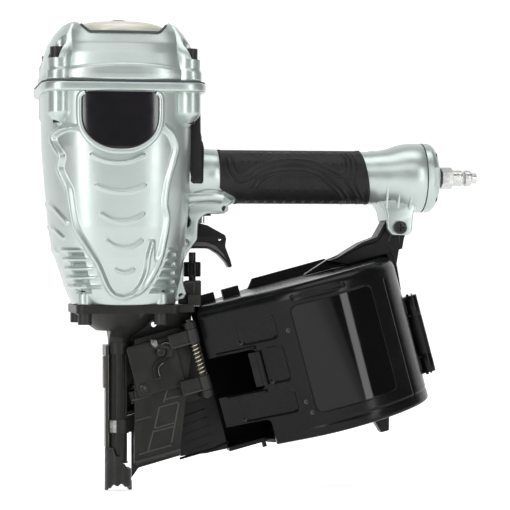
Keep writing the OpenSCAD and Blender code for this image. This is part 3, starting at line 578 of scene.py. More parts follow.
def circle_crossing(turns, cx, cy, radius):
    """For a ray at each turn: how far along the chord's middle lies, half the chord, and whether it hits."""
    along = cx * np.cos(turns) + cy * np.sin(turns)
    left = along ** 2 - (cx * cx + cy * cy - radius ** 2)
    return along, np.sqrt(np.maximum(left, 0)), (left > 0) & (along > 0)


def circle_exit(turns, cx, cy, radius):
    """How far from the axis a ray leaves a circle, or 0 where it misses."""
    along, half_chord, hits = circle_crossing(turns, cx, cy, radius)
    return np.where(hits, along + half_chord, 0)


def circle_entry(turns, cx, cy, radius):
    """How far from the axis a ray enters a circle, or a large number where it misses."""
    along, half_chord, hits = circle_crossing(turns, cx, cy, radius)
    return np.where(hits, along - half_chord, FAR_AWAY)


def oval(turns, right, left, front, power):
    """The radius of a rounded-square section."""
    cos, sin = np.cos(turns), np.sin(turns)
    half_x = np.where(cos > 0, right, left)
    return (np.abs(cos / half_x) ** power + np.abs(sin / front) ** power) ** (-1 / power)


def corner_union(turns, radius, cx, cy, boss):
    """The section's radius joined with four corner columns."""
    for sx, sy in CORNERS:
        radius = np.maximum(radius, circle_exit(turns, sx * cx, sy * cy, boss))
    return radius


def table(height, rows):
    return np.interp(height, [r[0] for r in rows], [r[1] for r in rows])


def barrel_surface(turns, z):
    radius = oval(turns, table(z, BARREL_RIGHT), table(z, BARREL_LEFT), table(z, BARREL_FRONT), BARREL_POWER)
    boss = BOSS_R * ease((z - 262) / 12)
    foot = FOOT_BOSS_R * ease((163 - z) / 9)
    if foot > 0.5:
        radius = corner_union(turns, radius, NOSE_BOLT_X, NOSE_BOLT_Y, foot)
    return radius if boss < 0.5 else corner_union(turns, radius, BOSS_X, BOSS_Y, boss)


def front_y(x, z):
    """Y of the barrel's near surface, without its relief."""
    half = table(z, BARREL_LEFT) if x < 0 else table(z, BARREL_RIGHT)
    return -table(z, BARREL_FRONT) * max(0.0, 1 - abs(x / half) ** BARREL_POWER) ** (1 / BARREL_POWER)


def make_barrel():
    near = np.linspace(-math.pi, 0, 300, endpoint=False)
    far_side = np.linspace(0, math.pi, 150, endpoint=False)
    turns = np.concatenate([near, far_side])
    rings = []
    for z in np.concatenate([[BARREL_FOOT], np.linspace(BARREL_FOOT + 0.6, BARREL_TOP, 218)]):
        radius = barrel_surface(turns, z)
        if z == BARREL_FOOT:
            radius = radius - 0.6
        x, y = radius * np.cos(turns), radius * np.sin(turns)
        facing = ease((np.abs(y) / table(z, BARREL_FRONT) - 0.12) / 0.22)
        relief = barrel_relief(x, np.full_like(x, z)) * facing
        radius = radius + relief * ease((z - BARREL_FOOT - 0.5) / 3)
        rings.append(section(turns, radius, z))
    barrel = shell("housing_barrel", rings, SILVER_LOOK, "tool", sharp=60)
    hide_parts("body_housing")


def make_flange():
    outline = rounded_box(-59.3, 59.3, -53.3, 53.3, 20, 12)
    plate("housing_flange", [outline], 288.2, 295, 1.6, SILVER_LOOK, "tool", as_built, rounds=4)


# ---------------------------------------------------------------- badge

BADGE_X = -4.0
BADGE_TOP = 287.8
BADGE_HALF = 26.9
BADGE_CORNER = 5.5
BADGE_LOW = 247.6
BADGE_ROUND = 272


def badge_half(z):
    """Half the badge's width at a height: straight sides over a round bottom."""
    if z >= BADGE_ROUND:
        corner = max(0.0, z - (BADGE_TOP - BADGE_CORNER))
        return BADGE_HALF - (BADGE_CORNER - math.sqrt(max(0.0, BADGE_CORNER ** 2 - corner ** 2)))
    drop = ((BADGE_ROUND - z) / (BADGE_ROUND - BADGE_LOW)) ** (1 / 0.85)
    return BADGE_HALF * math.sqrt(max(0.0, 1 - drop ** 2))


def make_badge():
    drop = BADGE_ROUND - BADGE_LOW - 0.01
    heights = [BADGE_ROUND - drop * math.cos(math.pi / 2 * k / 14) for k in range(14)]
    heights += list(np.linspace(BADGE_ROUND, BADGE_TOP - BADGE_CORNER, 6))
    heights += [BADGE_TOP - BADGE_CORNER * (1 - math.sin(math.pi / 2 * k / 6)) for k in range(1, 7)]
    columns = 44
    front, back = [], []
    for z in heights:
        for c in range(columns):
            x = BADGE_X + badge_half(z) * (2 * c / (columns - 1) - 1)
            y = front_y(x, z)
            front.append((x, y - 1.5, z))
            back.append((x, y + 1.5, z))
    badge = build("badge_face", front + back, panel_faces(len(heights), columns), BADGE_LOOK, "tool")
    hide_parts("badge")
    make_badge_rim("badge_rim", heights, 2.2, 0.2, 2.4, SILVER_LOOK)
    # a thin near-black line of painted shade in the groove between the badge and its rim
    make_badge_rim("badge_groove_painted_shade", heights, 0.2, 1.35, 0.45, PAINTED_SHADE_LOOK)


def make_badge_rim(name, heights, outside, proud, radius, look):
    """A bead that runs down one side of the badge, round below it and up the other side: the silver rim
    moulding, and a line of painted shade in the groove beside the badge.
    """
    left, right = [], []
    for z in heights[:-1]:
        reach = badge_half(z) + outside
        low = z - outside * max(0.0, (BADGE_ROUND - z) / (BADGE_ROUND - BADGE_LOW)) ** 2
        left.append((BADGE_X - reach, front_y(BADGE_X - reach, low) - proud, low))
        right.append((BADGE_X + reach, front_y(BADGE_X + reach, low) - proud, low))
    foot = BADGE_LOW - outside
    low = [(BADGE_X, front_y(BADGE_X, foot) - proud, foot)]
    rod(name, left[::-1][:-1] + low + right[1:], radius, look, "tool", sides=14)


# ---------------------------------------------------------------- head cap and deflector

CAP_RIGHT = [(296, 57.4), (301, 57.9), (307, 57.4), (316, 55.6), (325, 52.6), (333, 47.5), (338, 43),
             (341, 37)]
CAP_FRONT = [(296, 52.4), (301, 52.8), (307, 52.2), (316, 50.4), (323, 48.3), (333, 43), (338, 39), (341, 33)]
CAP_POWER = 2.9
CAP_LOW, CAP_TOP = 296.0, 341.0
CAP_SHOULDER = 312.0
CAP_BOLT_X, CAP_BOLT_POCKET_R = 48, 6.3
DIP_FLOOR, DIP_TOP, DIP_REACH = 331.0, 341.2, 35.2


def dip_height(x):
    """The top of the cap across the dip that holds the exhaust deflector."""
    return DIP_FLOOR + (DIP_TOP - DIP_FLOOR) * float(ease((abs(x) - 23.5) / 13))


def make_cap():
    turns = np.concatenate([np.linspace(-math.pi, 0, 260, endpoint=False),
                            np.linspace(0, math.pi, 200, endpoint=False)])
    heights = [CAP_LOW, 296.5, 297.2, 298.2] + list(np.linspace(299, 311.8, 14)) + [311.9, 312.2]
    heights += list(np.linspace(CAP_SHOULDER + 1, CAP_TOP, 34))
    rings = []
    for z in heights:
        front, side = table(z, CAP_FRONT), table(z, CAP_RIGHT)
        radius = oval(turns, side, side, front, CAP_POWER)
        boss = 9.4 * ease((331 - z) / 26 + 0.35)
        above = max(0, z - CAP_SHOULDER)
        radius = corner_union(turns, radius, BOSS_X - above * 0.35, BOSS_Y - above * 0.3, boss)
        # the lower band, whose upper edge bows up towards the middle of each side
        bow = 301.5 + 5.5 * np.abs(np.sin(turns)) ** 3
        radius = radius - 1.1 * ease((z - bow) / 1.8) - 0.7 * ease((297.2 - z) / 1.2)
        if z > CAP_SHOULDER:
            for sx, sy in CORNERS:
                radius = np.minimum(radius, circle_entry(turns, sx * CAP_BOLT_X, sy * BOSS_Y,
                                                         CAP_BOLT_POCKET_R))
        rings.append(section(turns, radius, z))
    top = rings[-1]
    for share in (0.985, 0.96, 0.93, 0.85, 0.7, 0.5, 0.3, 0.1):
        inner = top * [share, share, 1]
        inner[:, 2] = CAP_TOP + 0.9 * (1 - share)
        rings.append(inner)
    rings = np.array(rings)
    dip = np.vectorize(dip_height)(rings[:, :, 0])
    reach = np.hypot(rings[:, :, 0], rings[:, :, 1])
    dip = np.where(reach < DIP_REACH, DIP_FLOOR, dip)
    rings[:, :, 2] = np.minimum(rings[:, :, 2], dip)
    cap = shell("cap_casting", rings, SILVER_LOOK, "tool", sharp=50)
    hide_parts("head_cap")


def make_deflector():
    profile = [(0, 331.3), (33.4, 331.3), (34.5, 332.2), (34.6, 334.5), (33.6, 337.2), (31, 339), (26, 340.4),
               (18, 341.4), (9, 341.9), (6.2, 342), (6, 341.7), (0, 341.7)]
    cover = turned("deflector_cover", profile, CREAM_LOOK, "deflector", sharp=50)
    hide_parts("exhaust_deflector")
    # seven near-black blocks of painted shade standing for the louvre slots on the cover's rim
    for k in range(7):
        block("deflector_louvre_%d" % (k + 1), (-1.3, 1.3), (33.4, 34.65), (333.0, 336.4), 0.25,
              PAINTED_SHADE_LOOK, "deflector", about_axis((k - 3) * math.radians(7)))
    for side, name in ((-1, "deflector_gasket"), (1, "deflector_gasket_far")):
        edge = []
        for x in np.linspace(-30.5, 30.5, 44):
            z = dip_height(x)
            front, half = table(z, CAP_FRONT), table(z, CAP_RIGHT)
            reach = front * (1 - abs(x / half) ** CAP_POWER) ** (1 / CAP_POWER)
            edge.append((x, side * (reach - 0.5), z + 0.15))
        rod(name, edge, 0.85, GASKET_LOOK, "tool", sides=8)


# ---------------------------------------------------------------- handle casting

def hollow_sleeve(name, rings, look, body, place=as_built, sharp=35):
    """A tube whose last ring joins its first, so its wall is closed with no end faces."""
    rings = np.array(rings, float)
    rows, columns = rings.shape[:2]
    faces = grid_faces(rows, columns)
    last = (rows - 1) * columns
    faces += [(last + c, last + (c + 1) % columns, (c + 1) % columns, c) for c in range(columns)]
    return build(name, rings.reshape(-1, 3), faces, look, body, place, sharp)


def make_handle_casting():
    profile = [(0, 41), (27, 41), (25, 45), (23.2, 49.5), (21.8, 55), (20.8, 61), (20.3, 67), (20.2, 71.6),
               (19.9, 72.2), (19.35, 72.3), (19.35, 88), (15.8, 88.2), (15.8, 177), (19.3, 177.2),
               (19.4, 187), (20, 188), (20.1, 192), (20.7, 197), (21.9, 202), (23.8, 207.2), (25.1, 212),
               (25.7, 218), (25.8, 226.2), (25.4, 226.9), (0, 226.9)]
    turned("housing_handle", profile, SILVER_LOOK, "tool", along_x, sharp=32, steps=120)


WEB = [
    (36, 138, 0.5), (41.3, 138.2, 1), (48.8, 143.4, 1.5), (46.4, 150.8, 4), (46.4, 167.3, 5),
    (49.3, 173.8, 5), (56.6, 183, 6), (57.3, 198, 8), (64, 202.4, 4), (77, 202.3, 1.5), (79.3, 208, 3),
    (84, 210.8, 1), (76, 216, 1), (36, 216, 1)]
WEB_WINDOW = [(41, 205.6), (44, 207), (50.2, 207.2), (50.4, 204.4), (49.5, 201.5), (51.8, 197), (51, 193.4),
              (48, 191.2), (41, 190.8)]


CHEEK_SCREW_HOLE = (76.6, 205.9, 1.7)
CHEEK_LOW_HOLE = (44.4, 142.6, 1.3)


def make_web():
    outline = rounded(WEB, 1.5)
    near_holes = [rounded(WEB_WINDOW, 1.6), circle(*TRIGGER_PIVOT, 2.3, 20), circle(*CHEEK_SCREW_HOLE, 16),
                  circle(*CHEEK_LOW_HOLE, 14)]
    plate("trigger_cheek_near", [outline] + near_holes, -13.2, -7, 1.3, SILVER_LOOK, "tool", rounds=3)
    plate("trigger_cheek_far", [outline, circle(*TRIGGER_PIVOT, 2.3, 20)], 7, 13.2, 1.3, SILVER_LOOK,
          "tool", rounds=3)
    # Near-black plates of painted shade: one at the back of the slot between the cheeks, one behind the near
    # cheek's window in place of the shaded far cheek.
    plate("trigger_slot_back_painted_shade", [rounded([(39, 139), (42.5, 139), (42.5, 207), (39, 207)], 0.6)], -7.4, 7.4,
          0.4, PAINTED_SHADE_LOOK, "tool")
    plate("trigger_window_painted_shade", [rounded([(42, 189), (55, 189), (55, 209), (42, 209)], 0.6)], 6.35, 7.2, 0.2,
          PAINTED_SHADE_LOOK, "tool")
    # the swept ridge where the cheek runs into the barrel and the handle's root
    for side, name in ((-1, "near"), (1, "far")):
        ridge = smooth_line([(41, 202.5), (46, 206.5), (53, 209.6), (61, 212), (68, 216)])
        path = [(x, side * (13.2 + 0.14 * max(0, z - 206)), z) for x, z in ridge]
        rod("cheek_ridge_" + name, path, 1.5, SILVER_LOOK, "tool", sides=12)
        blend_block = [(x, side * y, z)
                       for x, y, z in ((44, 13, 214), (56, 15, 215), (66, 15.5, 215.5), (74, 14, 214.5))]
        rod("cheek_fillet_" + name, smooth_line(blend_block), 5.2, SILVER_LOOK, "tool", sides=20)
        # near-black discs of painted shade filling the cheek's screw and low holes
        for hole, (x, z, radius) in (("screw", CHEEK_SCREW_HOLE), ("low", CHEEK_LOW_HOLE)):
            rod("cheek_%s_hole_%s" % (hole, name), [(x, side * y, z) for y in (12.2, 12.6)], radius,
                PAINTED_SHADE_LOOK, "tool", sides=16)


LUG = [(196, 213, 1), (198.6, 202, 3), (198.9, 191, 4), (202, 186.7, 3), (214.5, 186.7, 3), (217.4, 189.6, 3),
       (218.2, 201, 4), (219.6, 206.5, 2), (220.6, 213, 1)]
GUSSETS = [
    (198.2, [(-10, 206), (-15, 206), (-16.6, 212), (-19.6, 222), (-20.9, 227.4), (-15, 228)]),
    (206.9, [(-10, 206), (-15, 206), (-17.2, 212), (-20.9, 218.8), (-21.8, 220.6), (-15, 221)]),
    (215.6, [(-10, 205), (-15, 205), (-17, 209), (-20.4, 214), (-21.2, 216), (-15, 216.4)])]


def make_lug():
    outline = rounded(LUG, 3)
    hole = circle(208, 192.3, 3.2, 24)
    plate("lug_ear_near", [outline, hole], -15.2, -9.5, 1.2, SILVER_LOOK, "tool", rounds=3)
    plate("lug_ear_far", [outline, hole], 9.5, 15.2, 1.2, SILVER_LOOK, "tool", rounds=3)
    bridge = rounded([(198.4, 204.6), (220.6, 204.6), (221, 213), (197.6, 213)], 1)
    plate("lug_bridge", [bridge], -14.4, 14.4, 0.6, SILVER_LOOK, "tool")
    for side, name in ((1, "near"), (-1, "far")):
        for number, (x, outline) in enumerate(GUSSETS):
            across = [(side * y, z) for y, z in outline]
            plate("lug_gusset_%s_%d" % (name, number + 1), [rounded(across, 1.0)], x - 0.95, x + 0.95, 0.5,
                  SILVER_LOOK, "tool", lambda p: p[:, [2, 0, 1]])
    wall = rounded([(192, 212), (196.6, 205), (198.2, 197.4), (200, 197.8), (201.6, 206), (206, 213)], 1)
    plate("lug_front_wall", [wall], -14, 14, 0.8, SILVER_LOOK, "tool")


# ---------------------------------------------------------------- rubber pad and grip

PAD_OUTER = [(224, 59.2), (250.5, 59.4), (256, 58), (261, 56.8), (285.4, 56.4)]
PAD_INNER = [(224, 52), (226, 49.5), (230, 47.8), (239.6, 46.4), (247, 47), (261.4, 50.2), (272, 51.8),
             (285.4, 52)]
PAD_CROWN = [(224, 2.9), (250, 2.9), (258, 3.2), (285.4, 3.4)]


PAD_HALF = 23.5


def make_pad():
    rings = []
    heights = [223.9, 224.3, 225.2, 226.6] + list(np.linspace(228.5, 283.6, 44)) + [284.8, 285.4, 285.6]
    for z in heights:
        shrink = 0.9 * (ease((225.6 - z) / 1.8) + ease((z - 284) / 1.6))
        edge, inner, crown = table(z, PAD_OUTER), table(z, PAD_INNER), table(z, PAD_CROWN)
        half = PAD_HALF - shrink
        groove = 0.55 * bead(abs(z - 256), 1.6) * (1 if z < 262 else 0)
        outer = []
        for t in np.linspace(-1, 1, 41):
            swell = crown * (1 - abs(t) ** 2.2)
            outer.append((edge - shrink - groove + swell - 1.6 * ease((abs(t) - 0.9) / 0.1), half * t, z))
        inside_line = [(inner + (edge - inner) * 0.5, half, z), (inner, half - 0.8, z),
                       (inner - 3, half - 3, z), (inner - 5, 0, z), (inner - 3, -half + 3, z),
                       (inner, -half + 0.8, z), (inner + (edge - inner) * 0.5, -half, z)]
        rings.append(outer + inside_line)
    pad = shell("head_pad", rings, RUBBER_LOOK, "tool", sharp=45)
    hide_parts("rubber_pad")


GRIP_LINES = [smooth_line(points, 5) for points in (
    [(77.5, 243.3), (77.8, 234.9), (81.1, 228.6), (86.8, 225.3), (93.2, 227.6), (100.3, 233.2),
     (112.5, 237.7), (126.7, 239.4), (141, 237.7), (153.9, 232.8), (161.7, 229.3), (166.9, 230.9),
     (169.5, 236.3), (169.8, 243.3), (168.1, 247.5)],
    [(82.2, 243.3), (82.5, 235.6), (86.1, 230.3), (91.1, 230.9), (99.6, 236.5), (113.9, 241.2),
     (128.2, 242.4),
     (142.4, 240.8), (155.3, 235.6), (161.8, 233), (165.4, 235.6), (166.2, 243.3), (164.6, 247.5)],
    [(95.3, 221.5), (98.9, 227.6), (109.6, 233.2), (129.6, 235.2), (143.9, 232.8), (158.1, 224.8),
     (166.7, 217.3), (171.7, 211)],
    [(99.5, 222), (102.5, 226.2), (111, 230.6), (129.6, 232.4), (142.6, 230.2), (155.6, 222.8),
     (163.6, 215.7), (168, 210.6)],
    [(165.3, 226.7), (172.4, 219.4), (178.1, 212.6), (179.5, 210.6)],
    [(173.1, 247), (173.8, 236.3), (171.7, 227.9), (176.7, 219.4), (183, 211)])]
GRIP_DOT_ROWS = [(246.4, 98, 163, 11), (240.6, 88.4, 104.4, 4), (239.0, 149, 162.4, 3),
                 (227.4, 109.6, 146, 6), (220.4, 108, 158.5, 8), (212.2, 94, 164, 11)]


GRIP_RADIUS, GRIP_BORE = 19.75, 18.9


def grip_relief(x, z):
    relief = np.zeros(np.shape(x))
    for line in GRIP_LINES:
        relief = np.maximum(relief, 0.9 * bead(distance_to(x, z, line), 1.1))
    for height, first, last, count in GRIP_DOT_ROWS:
        for cx in np.linspace(first, last, count):
            relief = np.maximum(relief, 0.75 * bead(np.hypot(x - cx, (z - height)), 1.5))
    return relief


def make_grip():
    turns = np.linspace(0, 2 * math.pi, 250, endpoint=False)
    lift, across = np.sin(turns), np.cos(turns)
    start = 72.35 + 12.8 * ease((-lift - 0.42) / 0.45)
    end = 183.3 - 3.3 * lift
    rings = []
    count = 250
    for k in range(count + 1):
        x = start + (end - start) * k / count
        relief = grip_relief(x, HANDLE_Z + GRIP_RADIUS * lift)
        radius = GRIP_RADIUS + relief * ease((np.abs(across) - 0.1) / 0.2)
        near_end = min(k, count - k) * 112 / count
        radius = radius - 0.55 * ease(1 - near_end / 0.9) + 0.35 * bead(near_end - 2.0, 1.2)
        radius = radius + 0.25 * bead(np.abs(np.abs(lift) - 0.97) * 20, 1.0)
        rings.append(np.stack([radius * across, radius * lift, x], axis=1))
    inner = [np.stack([GRIP_BORE * across, GRIP_BORE * lift, e], axis=1) for e in (end - 0.3, start + 0.3)]
    grip = hollow_sleeve("grip_sleeve", rings + inner, RUBBER_LOOK, "tool", along_x, sharp=60)
    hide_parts("handle_grip")


# ---------------------------------------------------------------- trigger

TRIGGER = [
    (44.2, 186, 1), (43.4, 179, 1.5), (46, 176.6, 2), (57.3, 176.8, 3), (66.4, 176.8, 8), (73.3, 172.6, 9),
    (79, 166.6, 5), (81.2, 162.6, 1), (83.6, 163.4, 1.2), (82.2, 168.6, 5), (78.4, 178.2, 5), (79.2, 184, 2),
    (78.4, 186.6, 1.4), (65.3, 193.8, 3), (60.7, 195, 2), (56, 196.4, 2), (52, 193, 1.5)]
TRIGGER_BAND = [
    (52.5, 179.2, 1), (56, 181.6, 4), (64, 181.4, 7), (71.5, 178.6, 7), (77, 172.6, 4), (79.6, 167.6, 1),
    (77.6, 170.2, 4), (72.6, 175, 7), (65.6, 178.4, 8), (57, 178.6, 2)]


def make_trigger():
    lever = plate("trigger_lever", [rounded(TRIGGER, 2, 6), circle(*TRIGGER_PIVOT, 2.1, 20),
                                    circle(74, 183.5, 1.2, 16)],
                  -6.2, 6.2, 0.9, MATT_LOOK, "trigger", rounds=3)
    channel = [(40, 170), (59, 170), (59, 182.4), (70, 178), (77.4, 179.4), (77.4, 200), (40, 200)]
    cut(lever, [plate("trigger_channel", [channel], -3.3, 3.3, 0.3, MATT_LOOK, "trigger")])
    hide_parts("trigger")
    for name, low, high in (("near", -6.45, -6.0), ("far", 6.0, 6.45)):
        plate("trigger_finger_band_" + name, [rounded(TRIGGER_BAND, 1, 6)], low, high, 0.15, GREY_LOOK,
              "trigger")


# ---------------------------------------------------------------- magazine

SLANT_U, SLANT_Y = 136.2, -51.4
THROAT_U, THROAT_Y = 87.2, -14.0
LAST_TURN = math.radians(127.8)
SPLIT_Y = 0.3
DRUM_LOW, DRUM_HIGH = 4.5, 114.5
LID_ROUND = 9
WINDOW_EDGE = rounded_box(147, 209.5, 21, 100.5, 6)
PANELS = [rounded_box(109, 136, 80, 99, 4.5), rounded_box(122.5, 137, 48, 76, 4.5),
          rounded_box(99, 137, 25, 43, 4)]


def drum_path():
    """The drum's near wall in plan, from the hinge round to the throat, with its outward direction."""
    stations = []
    for t in np.linspace(0.0, LAST_TURN, 150):
        stations.append((DRUM_U + DRUM_RADIUS * math.cos(t), -DRUM_RADIUS * math.sin(t), math.cos(t),
                         -math.sin(t)))
    out_u, out_y = math.cos(LAST_TURN), -math.sin(LAST_TURN)
    for share in np.linspace(0, 1, 62)[1:]:
        stations.append((SLANT_U + (THROAT_U - SLANT_U) * share, SLANT_Y + (THROAT_Y - SLANT_Y) * share,
                         out_u, out_y))
    return stations


def door_relief(u, w):
    """How far the magazine door's wall stands out over its panels, grooves and window recess."""
    relief = np.zeros(np.shape(u))
    for panel in PANELS:
        relief = relief - 1.2 * sunk(u, w, panel, 1.5)
    relief = relief - 1.7 * sunk(u, w, WINDOW_EDGE, 0.9)
    relief = relief - 1.0 * bead(distance_to(u, w, [(151, 105.4), (188, 105.4)]), 1.5)
    relief = relief - 0.7 * bead(np.abs(u - 222.5), 1.0) * ease((w - 12) / 3) * ease((102 - w) / 3)
    relief = relief - 0.5 * bead(np.abs(w - 12.5), 1.1)
    return relief


def drum_rings(relief):
    """Sections through the door's wall and its rounded lid, one at each place round the drum."""
    rows = [(2.9, DRUM_LOW), (1.4, DRUM_LOW), (0.4, DRUM_LOW + 0.6), (0, DRUM_LOW + 1.8)]
    rows += [(0, w) for w in np.linspace(7.3, 105, 104)]
    lid_low = DRUM_HIGH - LID_ROUND
    for t in np.linspace(0, math.pi / 2, 9):
        rows.append((LID_ROUND - LID_ROUND * math.cos(t), lid_low + LID_ROUND * math.sin(t)))
    inner = [(LID_ROUND + 0.5 - 6.5 * math.cos(t), 105 + 6.5 * math.sin(t))
             for t in np.linspace(math.pi / 2, 0, 6)]
    inner += [(3, w) for w in np.linspace(90, 5.5, 6)]
    rings = []
    for u, y, out_u, out_y in drum_path():
        split_u = min(max(u, 89), 239.5)
        wall = np.array([(u - out_u * inset, y - out_y * inset, w) for inset, w in rows])
        wanted = relief(wall[:, 0], wall[:, 2]) * ease((wall[:, 2] - 6) / 2) * ease((108 - wall[:, 2]) / 2)
        wall[:, 0] += out_u * wanted
        wall[:, 1] += out_y * wanted
        around = wall.tolist()
        edge = around[-1]
        for share in (0.15, 0.4, 0.7, 1.0):
            around.append([edge[0] + (split_u - edge[0]) * share, edge[1] + (-SPLIT_Y - edge[1]) * share,
                           DRUM_HIGH])
        under_u, under_y = u - out_u * (LID_ROUND + 0.5), y - out_y * (LID_ROUND + 0.5)
        for share in (0.0, 0.5):
            around.append([split_u + (under_u - split_u) * share, -SPLIT_Y + (under_y + SPLIT_Y) * share,
                         DRUM_HIGH - 3])
        for inset, w in inner:
            around.append([u - out_u * inset, y - out_y * inset, w])
        for point in around:
            point[1] = min(point[1], -SPLIT_Y)
        rings.append(around)
    return rings


def drum_wall_y(u, out=0.0):
    """Y of the near wall over a place u, moved out by some millimetres."""
    if u > SLANT_U:
        return -math.sqrt((DRUM_RADIUS + out) ** 2 - (u - DRUM_U) ** 2)
    share = (u - THROAT_U) / (SLANT_U - THROAT_U)
    return THROAT_Y + (SLANT_Y - THROAT_Y) * share - out / 0.79


def make_magazine_door():
    wall = shell("magazine_door_shell", drum_rings(door_relief), PLASTIC_LOOK, "coil_door", feed_axes,
                 sharp=40)
    cutters = []
    for name, box, front, back in (("notch", rounded_box(60, 119, 46, 76, 4), -80, 0.2),
                                   ("corner", rounded_box(60, 117, -20, 24, 4), -80, 0.2),
                                   ("strip", rounded_box(60, 89, -20, 112, 1), -9, 0.2)):
        cutters.append(plate(name + "_cutter", [box], front, back, 0.01, PLASTIC_LOOK, "coil_door",
                             feed_side))
    cut(wall, cutters)
    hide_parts("magazine_door")
    make_window()
    for k, (low, high) in enumerate(((21, 35.2), (64.8, 80))):
        make_knuckle("magazine_door_knuckle_%d" % (k + 1), low, high, "coil_door", -1)
    for k, (u, w) in enumerate(((142.6, 84), (142.2, 31), (144.3, 22.6))):
        wall_screw("door_screw_%d" % (k + 1), u, w)
    for k, w in enumerate((44.6, 77.4)):
        path = [(u, drum_wall_y(u, 0.2), w) for u in np.linspace(93, 119, 8)]
        rod("notch_lip_%d" % (k + 1), path, 1.3, PLASTIC_LOOK, "coil_door", feed_axes)


def wall_screw(name, u, w):
    y = drum_wall_y(u)

    def on_wall(points):
        return feed_axes(np.stack([points[:, 0] + u, y - points[:, 2], points[:, 1] + w], 1))

    profile = [(0, -0.6), (1.6, -0.6), (1.6, 0.3), (1.2, 0.6), (0.7, 0.62), (0.6, 0.25), (0, 0.25)]
    turned(name, profile, STEEL_LOOK, "coil_door", on_wall, steps=20)


def make_knuckle(name, low, high, body, side):
    """A hinge knuckle: a bored barrel with a web to the drum and open ribs."""
    profile = ((5.2, low), (5.4, low + 0.5), (5.4, high - 0.5), (5.2, high), (2.6, high), (2.6, low))
    rings = [ring(radius, w, DRUM_HINGE_U, 0, 40) for radius, w in profile]
    hollow_sleeve(name, rings, PLASTIC_LOOK, body, feed_axes, sharp=30)
    outline = rounded([(236, side * 0.4), (246.5, side * 0.6), (246.5, side * 3.6), (236.5, side * 9.5)], 0.6)
    steps = max(2, int((high - low) / 6))
    for k in range(steps):
        at = low + 0.2 + (high - low - 2.2) * k / (steps - 1)
        plate("%s_rib_%d" % (name, k + 1), [outline], at, at + 1.8, 0.3, PLASTIC_LOOK, body, feed_axes)
    web = rounded([(236, side * 0.5), (244.6, side * 0.5), (244.6, side * 2.4), (236, side * 2.4)], 0.3)
    plate(name + "_web", [web], low + 0.1, high - 0.1, 0.3, PLASTIC_LOOK, body, feed_axes)


def curved_panel(name, rows, skin, lift, depth, look, body, place, columns=60):
    """A panel that follows a curved wall.

    Each row is (height, left, right), and skin(across, out) is the wall."""
    front, back = [], []
    for height, left, right in rows:
        for across in np.linspace(left, right, columns):
            front.append((across, skin(across, lift), height))
            back.append((across, skin(across, lift - depth), height))
    return build(name, front + back, panel_faces(len(rows), columns), look, body, place)


def make_window():
    low, high, left, right, corner = 21.5, 100.0, 147.5, 209.0, 5.5
    rows = []
    for t in np.linspace(0, math.pi / 2, 8):
        inset = corner - corner * math.sin(t)
        rows.append((low + corner - corner * math.cos(t), left + inset, right - inset))
    ends = list(rows)
    rows += [(w, left, right) for w in np.linspace(low + corner, high - corner, 20)[1:-1]]
    rows += [(high - (w - low), a, b) for w, a, b in ends][::-1]
    pane = curved_panel("magazine_window_pane", rows, drum_wall_y, -0.6, 1.6, WINDOW_LOOK, "coil_door",
                        feed_axes)
    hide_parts("magazine_window")
    outline = dense_outline(rounded_box(147.3, 209.2, 21.3, 100.2, 5.7, 6))
    path = [(u, drum_wall_y(u, -0.5), w) for u, w in outline]
    rod("window_edge_bead", path, 0.5, PLASTIC_LOOK, "coil_door", feed_axes, sides=8, closed=True)


# ---------------------------------------------------------------- nose, foot and guide door

DOOR_CELLS = [
    [(9, 66), (22, 69.4), (25.7, 73)], [(11.6, 51.2), (22.8, 54.2), (23.6, 52.6)],
    [(29.1, 60.9), (25.5, 45.5)], [(24.8, 44.1), (20.8, 28.6)], [(43.4, 64), (38.2, 35)],
    [(29.1, 60.9), (43, 64.6)], [(25.5, 45.5), (41, 49.6)], [(25, 43.2), (40, 47)],
    [(20.8, 28.6), (38, 33)], [(34.8, 73.2), (32.2, 64.4)], [(32.2, 66.4), (43.2, 69)],
    [(14, 26.4), (20.8, 28.6)]]
DOOR_PLATE = [(10.8, 18.6, 2), (44.4, 27.8, 1.5), (50.5, 80, 4), (54, 100, 4), (46, 118.5, 3), (40, 118.8, 2),
              (10.8, 110.6, 2)]
LATCH_LINE = smooth_line([
    (23.2, 109.4), (25.3, 106.2), (29.6, 105.4), (33.8, 106.6), (36.2, 103.2), (34.9, 97.8), (30.2, 94.6),
    (26.6, 91), (26.4, 86.4), (27.9, 81.8)])
HINGE_U, HINGE_Y = 80, -16.5


def ribbon(line, half):
    """The outline of a strip that follows a line."""
    line = np.array(line, float)
    step = np.gradient(line, axis=0)
    step /= np.linalg.norm(step, axis=1)[:, None]
    aside = np.stack([-step[:, 1], step[:, 0]], axis=1) * half
    return [tuple(p) for p in line + aside] + [tuple(p) for p in (line - aside)[::-1]]


def make_door_latch():
    lever = plate("latch_lever", [rounded(ribbon(LATCH_LINE, 2.1), 0.5)], -14.3, -12.3, 0.5, STEEL_LOOK,
                  "latch")
    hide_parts("door_latch")
    # a light steel plate over the lever's tip: its wear together with a painted highlight
    tip = [(21.9, 110.8), (26.2, 110.4), (27.6, 106.4), (25.4, 104.4), (22.4, 107.2)]
    plate("latch_tip_wear_and_highlight", [rounded(tip, 0.6)], -14.4, -12.25, 0.4, STEEL_WEAR_AND_HIGHLIGHT_LOOK, "latch")
    # light steel bars along parts of the lever's edge: painted highlights
    for k, (first, last) in enumerate(((13, 24), (36, 53))):
        edge = ribbon(LATCH_LINE, 1.6)[first:last]
        rod("latch_worn_edge_%d" % (k + 1), [(x, -14.25, z) for x, z in edge], 0.32, STEEL_WEAR_AND_HIGHLIGHT_LOOK, "latch",
            sides=8)


